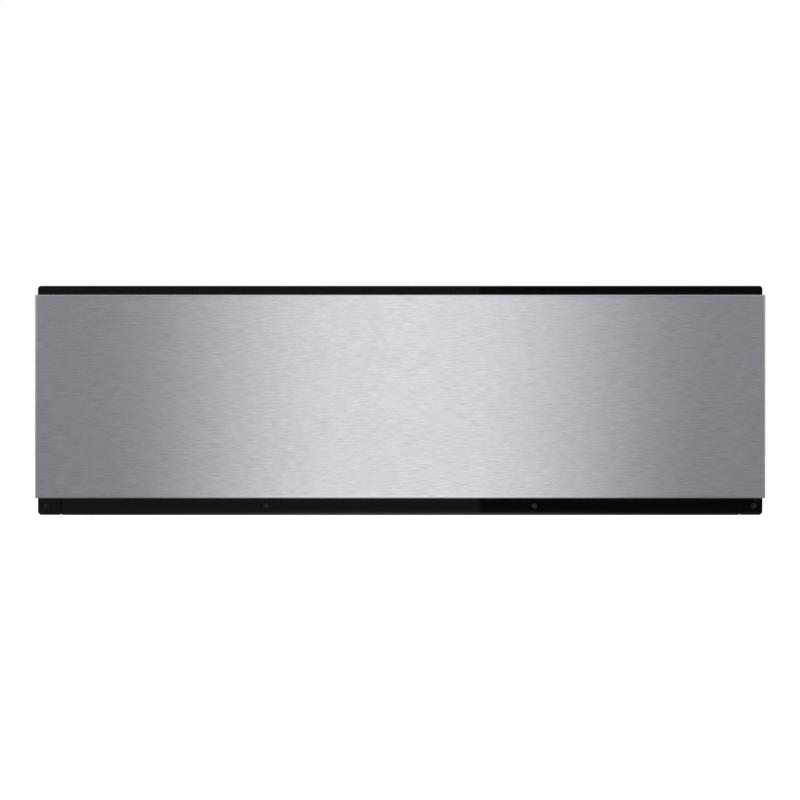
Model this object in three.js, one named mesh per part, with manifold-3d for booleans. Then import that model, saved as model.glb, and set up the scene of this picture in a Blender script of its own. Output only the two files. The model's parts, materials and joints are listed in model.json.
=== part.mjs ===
// A built-in warming drawer: a steel housing that slides into a kitchen cabinet, a black trim that covers
// the joint, and a heated drawer without a handle, on telescopic runners, that springs open when pushed.
//
// Millimetres. +X is to the right as seen from the front, the drawer opens along -Y, and +Z is up.
// The origin is the middle of the housing's underside. Inside the assembly group y = 0 is the cabinet face.

import * as THREE from 'three';
import { mergeVertices } from 'three/addons/utils/BufferGeometryUtils.js';
import Module from 'manifold-3d';

const wasm = await Module();
wasm.setup();

// ---------------------------------------------------------------- driving dimensions

const CLEAR = 0.3;                // gap between pieces that touch but aren't one
const SHEET = 1.2;                // housing sheet
const THIN_SHEET = 1;             // drawer sheet

const FRONT_W = 755.65;           // front panel: 29 3/4 in wide
const FRONT_H = 210.2;
const FRONT_T = 20;               // depth of its folded edges
const FRONT_DROP = 0.5;           // it reaches this far below the housing's underside
const FRONT_GAP = 4.5;            // between panel and trim
const SKIN_T = 1.2;
const SKIN_BEND_R = 2.5;          // outside radius of the folded edges

const TRIM_T = 3;
const TRIM_SETBACK = 2.7;         // the panel hides the trim by this much on each side
const TRIM_ABOVE = 9.5;           // trim that shows above the panel
const TRIM_BELOW = 17.5;          // and below it
const TRIM_EDGE_R = 1;
const TRIM_TOP_CORNER_R = 3.5;
const TRIM_LOW_CORNER_R = 4;
const TRIM_TOP_H = 14.7;          // height of the top trim
const TRIM_SILL = 8;              // the lower trim ends this far above the underside
const TRIM_JOINT = 0.3;           // open seam between lower trim and side trims

const SCREW_UP = 9.3;             // trim screws, above the trim's lower edge
const SCREW_INNER_X = 139;
const SCREW_EDGE = 9.125;         // outer screws, in from the trim's side
const SCREW_HEAD_R = 3;
const SCREW_HEAD_H = 1.5;
const SCREW_SHANK_R = 1.75;
const SCREW_REACH = 18;           // into the cabinet, behind the trim
const SCREW_POINT = 4;
const SCREW_HOLE_PLAY = 0.4;

const FRONT_LAP = 25.825;         // the panel reaches this far beyond the housing on each side
const HOUSING_RISE = 2.3;         // the housing's top, above the panel's upper edge
const HOUSING_D = 560;
const FLANGE = 12;                // folded edges of the housing's walls
const FACE_FLANGE = 9;            // outward flange that carries the side trim
const CEILING_DROP = 12;          // from the top cover's upper face to the inner ceiling's
const CEILING_BACK_GAP = 20;      // behind the inner ceiling
const VENT_COUNT = 9;
const VENT_W = 34;
const VENT_H = 4;
const VENT_PITCH = 50;
const VENT_DOWN = 26;             // rear vents, below the top

const RUNNER_Z = 70;              // height of the runners' middle
const RUNNER_Y = 12;              // their front end, behind the cabinet face
const RUNNER_END_GAP = 48;        // from its rear end to the housing's rear face
const RUNNER_T = 12.7;            // thickness of a whole runner
const RUNNER_SHEET = 1.2;
const RUNNER_HALF_H = 22.8;
const RUNNER_LIP = 10.8;          // depth of the outer member's lips
const BALL_R = 2.3;
const BALL_DEPTH = 7;             // the balls' middle, from the housing wall
const BALL_COUNT = 5;             // in each row
const BALL_PITCH = 38;
const CAGE_T = 0.6;
const CAGE_LEG = 8.5;
const CAGE_END = 8;               // cage beyond its last ball
const CAGE_LEAD = 33.5;           // the inner cages stand this far ahead of the outer ones

const DRAWER_BOTTOM = 10;         // above the housing's underside
const DRAWER_HEADROOM = 19;       // between the drawer's rim and the inner ceiling
const DRAWER_REAR_GAP = 78;       // from the drawer's rear face to the housing's
const SIDE_WALL_T = 34.1;         // double side walls
const FRONT_WALL_BACK = 50;       // inner face of the drawer's front wall
const REAR_WALL_T = 32;           // double rear wall
const GLASS_LEDGE = 10;
const LEDGE_Z = 58.5;             // underside of the ledge that carries the glass
const GLASS_T = 4;
const GLASS_PLAY = 1.5;           // round the glass, filled by sealant
const FLOOR_RIM = 15;
const FLOOR_FRONT_H = 40;

const REFLECTOR_Z = 40;
const REFLECTOR_RIM = 16;
const REFLECTOR_GAP = 3;          // round the reflector tray, inside the drawer's walls
const ELEMENT_R = 3.25;
const ELEMENT_RUNS = 5;
const ELEMENT_FRONT_MARGIN = 50;  // first run, behind the front wall
const ELEMENT_REAR_MARGIN = 70;   // last run, ahead of the rear wall
const ELEMENT_TURN_GAP = 16;      // from a half turn to the reflector's rim
const ELEMENT_TAIL = 3;           // the tails reach this far through the rim
const ELEMENT_STEPS = 132;
const ELEMENT_NOTCH_PLAY = 0.6;
const SENSOR_X = 80;
const SENSOR_FOOT_H = 1;
const SENSOR_R = 6;
const SENSOR_POST_R = 2.5;
const SENSOR_CAP_H = 7;

const STRIP_T = 4.7;              // control strip
const BOARD_DROP = 22;            // from the drawer's rim to the board's underside
const BOARD_T = 1.6;
const BOARD_REACH = [125, 55];    // to the left and right of the knob
const BOARD_HALF_D = 20;
const BOARD_BACK = 2;             // its middle, behind the line of the controls
const BOARD_PARTS = [             // x and y from the knob's axis, width, depth and height
  [-35, -6, 16, 12, 11],
  [33, -4, 18, 18, 13],
  [-105, 6, 10, 14, 8],
];
const POST_R = 3;
const POST_INSET = 6;
const CONTROL_Y = 22;             // line on which the controls stand
const KNOB_IN = 69;               // from the drawer's right inner side to the knob's axis
const KNOB_R = 18;
const KNOB_H = 14;
const KNOB_FLUTES = 24;
const KNOB_FLUTE_R = 1.3;
const KNOB_POINTER_W = 2;
const KNOB_POINTER_DEPTH = 0.8;
const SHAFT_R = 3;
const SHAFT_PLAY = 0.2;
const SELECTOR_SIZE = 24;
const SELECTOR_H = 12;
const SELECTOR_FLOOR_T = 1.5;     // under the knob's shaft
const BUSH_R = 5.5;
const BUTTON_APART = 85;          // from the knob's axis to the button's
const BUTTON_R = 6.5;
const BUTTON_PROUD = 3;
const BUTTON_FLANGE = 1.6;
const BUTTON_FLANGE_LAP = 1.5;
const BUTTON_EDGE_R = 0.8;
const BUTTON_DISH = [0.4, 0.6];   // depth of its hollow top, part way in and at the middle
const BUTTON_STEM_R = 2;
const BUTTON_TRAVEL = 2;
const SWITCH_W = 12;
const SWITCH_H = 4;
const LENS_APART = 59;            // from the knob's axis to the lens
const LENS_R = 2.2;
const LENS_PROUD = 0.5;
const LENS_FLANGE = 1.2;          // its thickness, and how far it reaches under the strip

const FAN_INLET_R = 36;
const IMPELLER_R = 40;
const IMPELLER_DEPTH = 11;
const IMPELLER_HUB_R = 11;
const IMPELLER_GAP = 0.7;         // between the impeller and the motor
const IMPELLER_PLATE_T = 1.4;
const BLADE_COUNT = 12;
const BLADE_T = 1.6;
const BLADE_INNER_R = 24;
const BLADE_TIP_GAP = 0.5;        // from a blade's tip to the impeller's edge
const IMPELLER_RING_W = 5;
const BLADE_SWEEP = 0.5;          // radians that a blade leans back
const MOTOR_R = 30;
const MOTOR_DEPTH = 12;
const MOTOR_EDGE = 3;             // chamfer round its front
const MOTOR_EAR = 40;             // fixing ears reach this far from the shaft
const MOTOR_EAR_HALF_H = 6;
const MOTOR_EAR_T = 2;
const GRILLE_W = 130;
const GRILLE_LOW_GAP = 9.2;       // above the glass plate
const GRILLE_HIGH_GAP = 17;       // below the drawer's rim
const GRILLE_T = 3;
const GRILLE_CORNER_R = 8;
const GRILLE_SLOTS = 7;
const GRILLE_SLOT_H = 5;
const GRILLE_SLOT_PITCH = 10;
const GRILLE_SLOT_W = 104;

const LATCH_Z = 55;
const LATCH_HALF = 14;
const LATCH_FLANGE_HALF = 24;
const LATCH_FLANGE_T = 2;
const LATCH_BORE_SPARE = 2;       // behind the plunger when it is pushed right in
const LATCH_FRONT_GAP = 8;        // from the striker to the latch case
const PLUNGER_R = 4.3;
const PLUNGER_LENGTH = 60;
const PLUNGER_PLAY = 0.3;
const PLUNGER_TIP_R = 1.2;
const PUSH_TRAVEL = 4;            // inward travel that frees the latch
const STRIKER_T = 2;
const STRIKER_HALF = 12;

const ARM_PIVOT_IN = 60.8;        // from the right wall to the pivots of the cable arm
const ARM_ELBOW_IN = 80.8;        // from the left wall to the end of a straight link
const ARM_SPREAD = 34;            // between the two outer pivots, with the drawer shut
const ARM_LUG = 18;               // from the drawer's rear face to its pivot
const ARM_W = 24;
const ARM_H = 14;
const ARM_WALL = 2;
const ARM_Z = 100;                // underside of the lower link
const ARM_GAP = 1;                // between the two links
const ARM_EYE_R = 7.5;            // eye over the drawer's pin; its play takes up the arm's uneven motion
const ARM_PIN_R = 3;
const ARM_WASHER_R = 12;
const ARM_WASHER_T = 1.5;
const SWIVEL_R = 5;
const SWIVEL_PLAY = 0.3;
const SWIVEL_HEAD_R = 9;
const SWIVEL_HEAD_T = 2;
const BRACKET_T = 2.5;
const BRACKET_HALF_W = 25;
const BRACKET_PLATE_T = 2;
const BRACKET_LOW = 16;           // plate below the lower link
const BRACKET_HIGH = 30;          // and above it

const JUNCTION_IN = 25.8;         // from the left wall to the junction box
const JUNCTION_W = 70;
const JUNCTION_DEPTH = 60;
const JUNCTION_H = 60;
const JUNCTION_LID_T = 3;
const JUNCTION_LID_LAP = 1.5;
const INLET_R = 11;
const INLET_Z = 31;
const INLET_DEPTH = 12;
const INLET_FLANGE_R = 15;
const INLET_FLANGE_T = 3;
const INLET_BORE_R = 4.5;

// ---------------------------------------------------------------- places worked out from them

const frontX = FRONT_W / 2;
const frontBack = -TRIM_T - FRONT_GAP;
const frontFace = frontBack - FRONT_T;
const frontLow = -FRONT_DROP;
const frontHigh = frontLow + FRONT_H;

const trimX = frontX - TRIM_SETBACK;
const trimLow = frontLow - TRIM_BELOW;
const trimHigh = frontHigh + TRIM_ABOVE;
const trimTopLow = trimHigh - TRIM_TOP_H;
const screwZ = trimLow + SCREW_UP;
const outerScrewX = trimX - SCREW_EDGE;

const housingX = frontX - FRONT_LAP;
const housingHigh = frontHigh + HOUSING_RISE;
const wallX = housingX - SHEET;                 // inner face of a side wall
const coverLow = housingHigh - SHEET;
const ceilingHigh = housingHigh - CEILING_DROP;
const ceilingLow = ceilingHigh - THIN_SHEET;
const rearWallFront = HOUSING_D - SHEET;

const drawerTop = ceilingLow - DRAWER_HEADROOM;
const drawerBack = HOUSING_D - DRAWER_REAR_GAP;
const drawerX = wallX - RUNNER_T;               // outer face of a drawer side
const tubX = drawerX - SIDE_WALL_T;             // inner face of a drawer side
const rearWallX = tubX - CLEAR;                 // half width of what fits between the sides
const tubFront = FRONT_WALL_BACK;
const tubBack = drawerBack - REAR_WALL_T;
const ledgeX = tubX - GLASS_LEDGE - CLEAR;      // half width of the front and rear ledges
const ledgeHigh = LEDGE_Z + THIN_SHEET;
const glassLow = ledgeHigh + CLEAR;
const glassHigh = glassLow + GLASS_T;
const floorHigh = DRAWER_BOTTOM + THIN_SHEET;
const stripLow = drawerTop - STRIP_T;

const reflectorX = tubX - REFLECTOR_GAP;
const firstRunY = tubFront + ELEMENT_FRONT_MARGIN;
const lastRunY = tubBack - ELEMENT_REAR_MARGIN;
const runPitch = (lastRunY - firstRunY) / (ELEMENT_RUNS - 1);
const turnX = reflectorX - ELEMENT_TURN_GAP - runPitch / 2;     // where a run ends and its half turn starts
const elementZ = REFLECTOR_Z + THIN_SHEET + CLEAR + ELEMENT_R;
const sensorY = firstRunY + 1.5 * runPitch;

const knobX = tubX - KNOB_IN;
const buttonX = knobX - BUTTON_APART;
const lensX = knobX - LENS_APART;
const boardLow = drawerTop - BOARD_DROP;
const grilleLow = glassHigh + GRILLE_LOW_GAP;
const grilleHigh = drawerTop - GRILLE_HIGH_GAP;
const fanZ = (grilleLow + grilleHigh) / 2;

const strikerFace = drawerBack + STRIKER_T;
const latchFront = strikerFace + LATCH_FRONT_GAP;

const armPivotX = wallX - ARM_PIVOT_IN;
const armReach = armPivotX + wallX - ARM_ELBOW_IN;              // between the pivots of each link
const armPivotY = drawerBack + ARM_LUG;         // pivot on the drawer
const armBaseY = armPivotY + ARM_SPREAD;        // pivot on the housing
const armAngle = Math.asin(ARM_SPREAD / (2 * armReach));
const elbowX = armPivotX - armReach * Math.cos(armAngle);
const elbowY = armBaseY - ARM_SPREAD / 2;
const upperArmZ = ARM_Z + ARM_H + ARM_GAP;

// ---------------------------------------------------------------- solids

function solidFrom(geometry) {
  const bare = geometry.clone();
  bare.deleteAttribute('normal');
  bare.deleteAttribute('uv');
  const merged = mergeVertices(bare, 1e-4);
  const index = merged.index.array;
  const corners = [];
  for (let i = 0; i < index.length; i += 3) {
    const [a, b, c] = [index[i], index[i + 1], index[i + 2]];
    if (a !== b && b !== c && c !== a) corners.push(a, b, c);
  }
  return new wasm.Manifold(new wasm.Mesh({
    numProp: 3,
    vertProperties: new Float32Array(merged.attributes.position.array),
    triVerts: new Uint32Array(corners),
  }));
}

function geometryFrom(solid) {
  const mesh = solid.getMesh();
  const geometry = new THREE.BufferGeometry();
  geometry.setAttribute('position', new THREE.BufferAttribute(new Float32Array(mesh.vertProperties), 3));
  geometry.setIndex(new THREE.BufferAttribute(new Uint32Array(mesh.triVerts), 1));
  geometry.computeVertexNormals();
  return geometry;
}

const join = (first, ...rest) => rest.reduce((whole, piece) => whole.add(piece), first);
const cut = (first, ...rest) => rest.reduce((whole, piece) => whole.subtract(piece), first);

// A block between exact limits on each axis, so that pieces that meet face to face share one plane.
function block(x, y, z) {
  const geometry = new THREE.BoxGeometry(1, 1, 1);
  const place = geometry.attributes.position;
  for (let i = 0; i < place.count; i += 1) {
    place.setXYZ(
      i,
      x[place.getX(i) < 0 ? 0 : 1],
      y[place.getY(i) < 0 ? 0 : 1],
      z[place.getZ(i) < 0 ? 0 : 1],
    );
  }
  return solidFrom(geometry);
}

// An outline pulled along one axis. It is given as (x, y) points for 'z', (y, z) for 'x' and (x, z) for 'y'.
function prism(outline, axis, from, to) {
  const shape = new THREE.Shape(outline.map(([u, v]) => new THREE.Vector2(u, v)));
  const geometry = new THREE.ExtrudeGeometry(shape, { depth: 1, bevelEnabled: false });
  const place = geometry.attributes.position;
  for (let i = 0; i < place.count; i += 1) {
    const [u, v] = [place.getX(i), place.getY(i)];
    const far = place.getZ(i) > 0.5;
    if (axis === 'z') place.setXYZ(i, u, v, far ? to : from);
    if (axis === 'x') place.setXYZ(i, far ? to : from, u, v);
    if (axis === 'y') place.setXYZ(i, u, far ? from : to, v);
  }
  return solidFrom(geometry);
}

function arc(u, v, radius, from, to, steps) {
  const points = [];
  for (let i = 0; i <= steps; i += 1) {
    const angle = from + ((to - from) * i) / steps;
    points.push([u + radius * Math.cos(angle), v + radius * Math.sin(angle)]);
  }
  return points;
}

const circle = (u, v, radius, sides = 32) => arc(u, v, radius, 0, 2 * Math.PI, sides).slice(0, sides);
const rod = (axis, u, v, radius, from, to, sides) => prism(circle(u, v, radius, sides), axis, from, to);

// The outline of a bent sheet: its outer face as a path, thickened to the left of the way it runs.
function fold(path, thickness) {
  const left = path.slice(1).map(([u, v], i) => {
    const [du, dv] = [u - path[i][0], v - path[i][1]];
    const run = Math.hypot(du, dv);
    return [-dv / run, du / run];
  });
  const inner = path.map(([u, v], i) => {
    const a = left[Math.max(i - 1, 0)];
    const b = left[Math.min(i, left.length - 1)];
    const share = thickness / (1 + a[0] * b[0] + a[1] * b[1]);
    return [u + (a[0] + b[0]) * share, v + (a[1] + b[1]) * share];
  });
  return [...path, ...inner.reverse()];
}

// An open-topped tray of sheet.
function tray(x, y, z, sheet) {
  const hollow = block([x[0] + sheet, x[1] - sheet], [y[0] + sheet, y[1] - sheet], [z[0] + sheet, z[1] + 1]);
  return block(x, y, z).subtract(hollow);
}

// A turned piece about the Z axis: [radius, height] points from the bottom of the axis to its top.
function turned(profile, sides = 32) {
  const points = profile.map(([radius, height]) => new THREE.Vector2(radius, height));
  const geometry = new THREE.LatheGeometry(points, sides);
  geometry.rotateX(Math.PI / 2);
  return solidFrom(geometry);
}

// ---------------------------------------------------------------- the scene

const QUARTER = Math.PI / 2;
const sides = [{ name: 'left', sign: -1 }, { name: 'right', sign: 1 }];

const finishes = {
  brushedStainless: { color: 0xc4c6ca, roughness: 0.34, metalness: 1 },
  satinStainless: { color: 0xbfc1c4, roughness: 0.42, metalness: 1 },
  galvanised: { color: 0xa9adb0, roughness: 0.5, metalness: 1 },
  zincPlate: { color: 0xb4b8bb, roughness: 0.35, metalness: 1 },
  blackEnamel: { color: 0x17171a, roughness: 0.3, metalness: 0 },
  blackScrew: { color: 0x26262a, roughness: 0.4, metalness: 0.6 },
  mineralWool: { color: 0xb9a878, roughness: 1, metalness: 0 },
  darkGlass: { color: 0x0b0b0d, roughness: 0.06, metalness: 0 },
  blackGloss: { color: 0x0d0d0f, roughness: 0.12, metalness: 0 },
  greyPlastic: { color: 0x55585c, roughness: 0.55, metalness: 0 },
  blackPlastic: { color: 0x1b1b1d, roughness: 0.6, metalness: 0 },
  boardGreen: { color: 0x1f5a3a, roughness: 0.5, metalness: 0 },
  elementSheath: { color: 0x6d6a66, roughness: 0.45, metalness: 1 },
  amberLens: { color: 0xff8c1a, roughness: 0.2, metalness: 0 },
};

const warmingDrawer = new THREE.Group();
const assembly = new THREE.Group();
assembly.position.y = -HOUSING_D / 2;
warmingDrawer.add(assembly);

function add(name, finish, solid, place = [0, 0, 0], turn = [0, 0, 0]) {
  const mesh = new THREE.Mesh(geometryFrom(solid), new THREE.MeshStandardMaterial(finishes[finish]));
  mesh.name = name;
  mesh.position.set(...place);
  mesh.rotation.set(...turn);
  assembly.add(mesh);
}

// The x limits of a piece on the left or the right, from its distances to the middle.
const spanX = (sign, near, far) => (sign > 0 ? [near, far] : [-far, -near]);

// ---------------------------------------------------------------- front panel

// Limits along one axis and the front's depth, with the two front corners rounded.
function frontOutline(low, high, face, back, radius) {
  return [
    [low, back],
    ...arc(low + radius, face + radius, radius, Math.PI, 1.5 * Math.PI, 4),
    ...arc(high - radius, face + radius, radius, 1.5 * Math.PI, 2 * Math.PI, 4),
    [high, back],
  ];
}

function foldedBlock(halfWidth, low, high, face, back, radius) {
  const plan = frontOutline(-halfWidth, halfWidth, face, back, radius);
  const section = frontOutline(low, high, face, back, radius).map(([z, y]) => [y, z]);
  return prism(plan, 'z', low, high).intersect(prism(section, 'x', -halfWidth, halfWidth));
}

const skinX = frontX - SKIN_T;
const skinLow = frontLow + SKIN_T;
const skinHigh = frontHigh - SKIN_T;
const outerSkin = foldedBlock(frontX, frontLow, frontHigh, frontFace, frontBack, SKIN_BEND_R);
const innerSkin = foldedBlock(skinX, skinLow, skinHigh, frontFace + SKIN_T, 0, SKIN_BEND_R - SKIN_T);
add('front_panel', 'brushedStainless', cut(outerSkin, innerSkin));

const backplateFace = frontBack - SHEET;
add('front_backplate', 'galvanised', block(
  [-skinX + CLEAR, skinX - CLEAR],
  [backplateFace, frontBack],
  [skinLow + CLEAR, skinHigh - CLEAR],
));
add('front_insulation', 'mineralWool', block(
  [-skinX + 2 * CLEAR, skinX - 2 * CLEAR],
  [frontFace + SKIN_T + CLEAR, backplateFace - CLEAR],
  [skinLow + 2 * CLEAR, skinHigh - 2 * CLEAR],
));

// ---------------------------------------------------------------- trim and its screws

const screwHole = (x) => rod('y', x, screwZ, SCREW_SHANK_R + SCREW_HOLE_PLAY, -TRIM_T - 1, 1, 20);

// The trim's section, (y, z): its front edge is rounded at the end that shows.
function trimSection(low, high, roundLow) {
  const edge = -TRIM_T + TRIM_EDGE_R;
  if (roundLow) {
    return [[0, high], [-TRIM_T, high],
      ...arc(edge, low + TRIM_EDGE_R, TRIM_EDGE_R, Math.PI, 1.5 * Math.PI, 3), [0, low]];
  }
  return [[0, low], [-TRIM_T, low],
    ...arc(edge, high - TRIM_EDGE_R, TRIM_EDGE_R, Math.PI, 0.5 * Math.PI, 3), [0, high]];
}

const topOutline = [
  [-trimX, trimTopLow],
  [trimX, trimTopLow],
  ...arc(trimX - TRIM_TOP_CORNER_R, trimHigh - TRIM_TOP_CORNER_R, TRIM_TOP_CORNER_R, 0, QUARTER, 5),
  ...arc(-trimX + TRIM_TOP_CORNER_R, trimHigh - TRIM_TOP_CORNER_R, TRIM_TOP_CORNER_R, QUARTER, Math.PI, 5),
];
add('top_trim', 'blackEnamel', prism(topOutline, 'y', -TRIM_T, 0)
  .intersect(prism(trimSection(trimTopLow, trimHigh, false), 'x', -trimX, trimX)));

const lowerTrimX = housingX - TRIM_JOINT;
add('bottom_trim', 'blackEnamel', cut(
  prism(trimSection(trimLow, TRIM_SILL, true), 'x', -lowerTrimX, lowerTrimX),
  screwHole(-SCREW_INNER_X),
  screwHole(SCREW_INNER_X),
));

for (const { name, sign } of sides) {
  const cornerR = TRIM_LOW_CORNER_R;
  const corner = arc(trimX - cornerR, trimLow + cornerR, cornerR, 0, -QUARTER, 5);
  const high = trimTopLow - TRIM_JOINT;
  const outline = [[trimX, high], ...corner, [housingX, trimLow], [housingX, high]]
    .map(([x, z]) => [sign * x, z]);
  const [from, to] = spanX(sign, housingX, trimX);
  const leg = prism(outline, 'y', -TRIM_T, 0)
    .intersect(prism(trimSection(trimLow, high, true), 'x', from, to));
  // Its back is relieved over the housing's flange, so that it lies flat on the cabinet.
  const relief = block(
    spanX(sign, housingX - 1, housingX + FACE_FLANGE + CLEAR),
    [-CLEAR, 1],
    [SHEET - CLEAR, high + 1],
  );
  add(`${name}_trim`, 'blackEnamel', cut(leg, screwHole(sign * outerScrewX), relief));
}

// A pan head with a cross recess, on a pointed shank, along +Z from head to point.
function trimScrew() {
  const shankEnd = TRIM_T + SCREW_REACH;
  const body = turned([
    [0, -SCREW_HEAD_H],
    [SCREW_HEAD_R * 0.55, -SCREW_HEAD_H],
    [SCREW_HEAD_R * 0.9, -SCREW_HEAD_H * 0.65],
    [SCREW_HEAD_R, -CLEAR],
    [SCREW_SHANK_R, -CLEAR],
    [SCREW_SHANK_R, shankEnd - SCREW_POINT],
    [0, shankEnd],
  ], 20);
  const slot = SCREW_HEAD_R * 0.5;
  const wide = SCREW_HEAD_R * 0.13;
  const deep = [-SCREW_HEAD_H - 1, -SCREW_HEAD_H * 0.4];
  return cut(body, block([-slot, slot], [-wide, wide], deep), block([-wide, wide], [-slot, slot], deep));
}

[-outerScrewX, -SCREW_INNER_X, SCREW_INNER_X, outerScrewX].forEach((x, i) => {
  add(`trim_screw_${i + 1}`, 'blackScrew', trimScrew(), [x, -TRIM_T, screwZ], [-QUARTER, 0, 0]);
});

// ---------------------------------------------------------------- housing

const floorFold = fold([[0, TRIM_SILL], [0, 0], [HOUSING_D, 0]], SHEET);
const floorCorner = (sign) => block(
  spanX(sign, wallX - CLEAR, housingX + 1),
  [-1, SHEET + 1],
  [SHEET, TRIM_SILL + 1],
);
add('housing_floor', 'galvanised',
  cut(prism(floorFold, 'x', -housingX, housingX), floorCorner(-1), floorCorner(1)));

const rearFlangeBack = rearWallFront - CLEAR;
for (const { name, sign } of sides) {
  const plan = fold([
    [housingX, 0],
    [housingX, rearFlangeBack],
    [wallX - FLANGE, rearFlangeBack],
  ], SHEET).map(([x, y]) => [sign * x, y]);
  const flange = (z) => block(spanX(sign, wallX - FLANGE, wallX), [SHEET + CLEAR, rearFlangeBack - SHEET], z);
  add(`housing_${name}_wall`, 'galvanised', join(
    prism(plan, 'z', SHEET, coverLow),
    block(spanX(sign, housingX, housingX + FACE_FLANGE), [0, SHEET], [SHEET, coverLow]),
    flange([SHEET, 2 * SHEET]),
    flange([coverLow - SHEET, coverLow]),
  ));
}

function ventRow(z, from, to) {
  const vents = [];
  for (let i = 0; i < VENT_COUNT; i += 1) {
    const x = (i - (VENT_COUNT - 1) / 2) * VENT_PITCH;
    vents.push(block([x - VENT_W / 2, x + VENT_W / 2], [from, to], [z - VENT_H / 2, z + VENT_H / 2]));
  }
  return vents;
}

const junctionX = [JUNCTION_IN - wallX, JUNCTION_IN - wallX + JUNCTION_W];
const inletX = (junctionX[0] + junctionX[1]) / 2;
add('housing_rear_wall', 'galvanised', cut(
  block([-wallX + CLEAR, wallX - CLEAR], [rearWallFront, HOUSING_D], [SHEET, coverLow]),
  rod('y', inletX, INLET_Z, INLET_R, rearWallFront - 1, HOUSING_D + 1),
  ...ventRow(housingHigh - VENT_DOWN, rearWallFront - 1, HOUSING_D + 1),
));

add('top_cover', 'galvanised', block([-housingX, housingX], [0, HOUSING_D], [coverLow, housingHigh]));

const ceilingBack = rearWallFront - CEILING_BACK_GAP;
const ceilingLipHigh = coverLow - SHEET - CLEAR;
const ceilingFold = fold([[0, ceilingLipHigh], [0, ceilingLow], [ceilingBack, ceilingLow]], THIN_SHEET);
add('inner_ceiling', 'satinStainless', prism(ceilingFold, 'x', -wallX + CLEAR, wallX - CLEAR));
add('ceiling_insulation', 'mineralWool', block(
  [-wallX + 2 * CLEAR, wallX - 2 * CLEAR],
  [THIN_SHEET + CLEAR, ceilingBack],
  [ceilingHigh + CLEAR, ceilingLipHigh],
));

const junctionFront = rearWallFront - JUNCTION_DEPTH;
const lidLow = JUNCTION_H - JUNCTION_LID_T;
add('junction_box', 'greyPlastic', cut(
  join(
    block(junctionX, [junctionFront, rearWallFront], [SHEET + CLEAR, lidLow]),
    block(
      [junctionX[0] - JUNCTION_LID_LAP, junctionX[1] + JUNCTION_LID_LAP],
      [junctionFront - JUNCTION_LID_LAP, rearWallFront],
      [lidLow, JUNCTION_H],
    ),
  ),
  rod('y', inletX, INLET_Z, INLET_R, rearWallFront - INLET_DEPTH, rearWallFront + 1),
));

// A rubber grommet, along +Z out of the rear wall. The profile is a closed ring.
const grommetNeck = INLET_R - CLEAR;
const grommetIn = -SHEET - INLET_DEPTH + 1;
const grommetProfile = [
  [INLET_BORE_R, grommetIn],
  [grommetNeck, grommetIn],
  [grommetNeck, CLEAR],
  [INLET_FLANGE_R, CLEAR],
  [INLET_FLANGE_R, INLET_FLANGE_T * 0.6],
  [INLET_FLANGE_R * 0.75, INLET_FLANGE_T + 1],
  [INLET_BORE_R, INLET_FLANGE_T + 1],
  [INLET_BORE_R, grommetIn],
];
add('cable_grommet', 'blackPlastic', turned(grommetProfile), [inletX, HOUSING_D, INLET_Z], [-QUARTER, 0, 0]);

// ---------------------------------------------------------------- telescopic runners

const runnerEnd = HOUSING_D - RUNNER_END_GAP;
const outerCageY = (RUNNER_Y + runnerEnd) / 2;            // with the drawer shut
const innerCageY = outerCageY - CAGE_LEAD;
const ballRace = 2 * BALL_R + 2 * CLEAR;
const outerRaceZ = RUNNER_HALF_H - RUNNER_SHEET;          // inside of the outer member's lips
const middleHalf = outerRaceZ - ballRace;                 // outside of the middle member's lips
const innerRaceZ = middleHalf - RUNNER_SHEET;
const innerHalf = innerRaceZ - ballRace;                  // outside of the drawer member's lips
const outerCageU = RUNNER_SHEET + CLEAR;
const middleU = outerCageU + CAGE_T + CLEAR;
const innerCageU = middleU + RUNNER_SHEET + CLEAR;
const drawerMemberU = innerCageU + CAGE_T + CLEAR;

// A channel from its web to its lip ends, both as depths from the housing wall.
function channel(sign, web, lipEnd, halfHeight, sheet, alongY) {
  const path = [[lipEnd, halfHeight], [web, halfHeight], [web, -halfHeight], [lipEnd, -halfHeight]];
  const outline = fold(web < lipEnd ? path : path.reverse(), sheet);
  return prism(outline.map(([u, v]) => [sign * (wallX - u), RUNNER_Z + v]), 'y', ...alongY);
}

// A cage is a thin channel with two rows of balls in its lips.
function ballCage(sign, webU, half, middleY) {
  const reach = ((BALL_COUNT - 1) / 2) * BALL_PITCH;
  const limits = [middleY - reach - CAGE_END, middleY + reach + CAGE_END];
  let cage = channel(sign, webU, webU + CAGE_LEG, half + CAGE_T / 2, CAGE_T, limits);
  for (let i = 0; i < BALL_COUNT; i += 1) {
    for (const row of [-1, 1]) {
      const ball = new THREE.SphereGeometry(BALL_R, 6, 4);
      ball.translate(sign * (wallX - BALL_DEPTH), middleY - reach + i * BALL_PITCH, RUNNER_Z + row * half);
      cage = cage.add(solidFrom(ball));
    }
  }
  return cage;
}

for (const { name, sign } of sides) {
  const member = (web, lipEnd, halfHeight, end) =>
    channel(sign, web, lipEnd, halfHeight, RUNNER_SHEET, [RUNNER_Y, end]);
  add(`${name}_runner_outer`, 'zincPlate', member(0, RUNNER_LIP, RUNNER_HALF_H, runnerEnd));
  add(`${name}_runner_middle`, 'zincPlate', member(middleU, RUNNER_LIP, middleHalf, runnerEnd));
  add(`${name}_runner_inner`, 'zincPlate',
    member(RUNNER_T, drawerMemberU, innerHalf, drawerBack - THIN_SHEET - CLEAR));
  add(`${name}_outer_cage`, 'greyPlastic',
    ballCage(sign, outerCageU, outerRaceZ - ballRace / 2, outerCageY));
  add(`${name}_inner_cage`, 'greyPlastic',
    ballCage(sign, innerCageU, innerRaceZ - ballRace / 2, innerCageY));
}

// ---------------------------------------------------------------- drawer box

const outerSheetFront = drawerBack - THIN_SHEET;
const sideBack = outerSheetFront - CLEAR;

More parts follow.
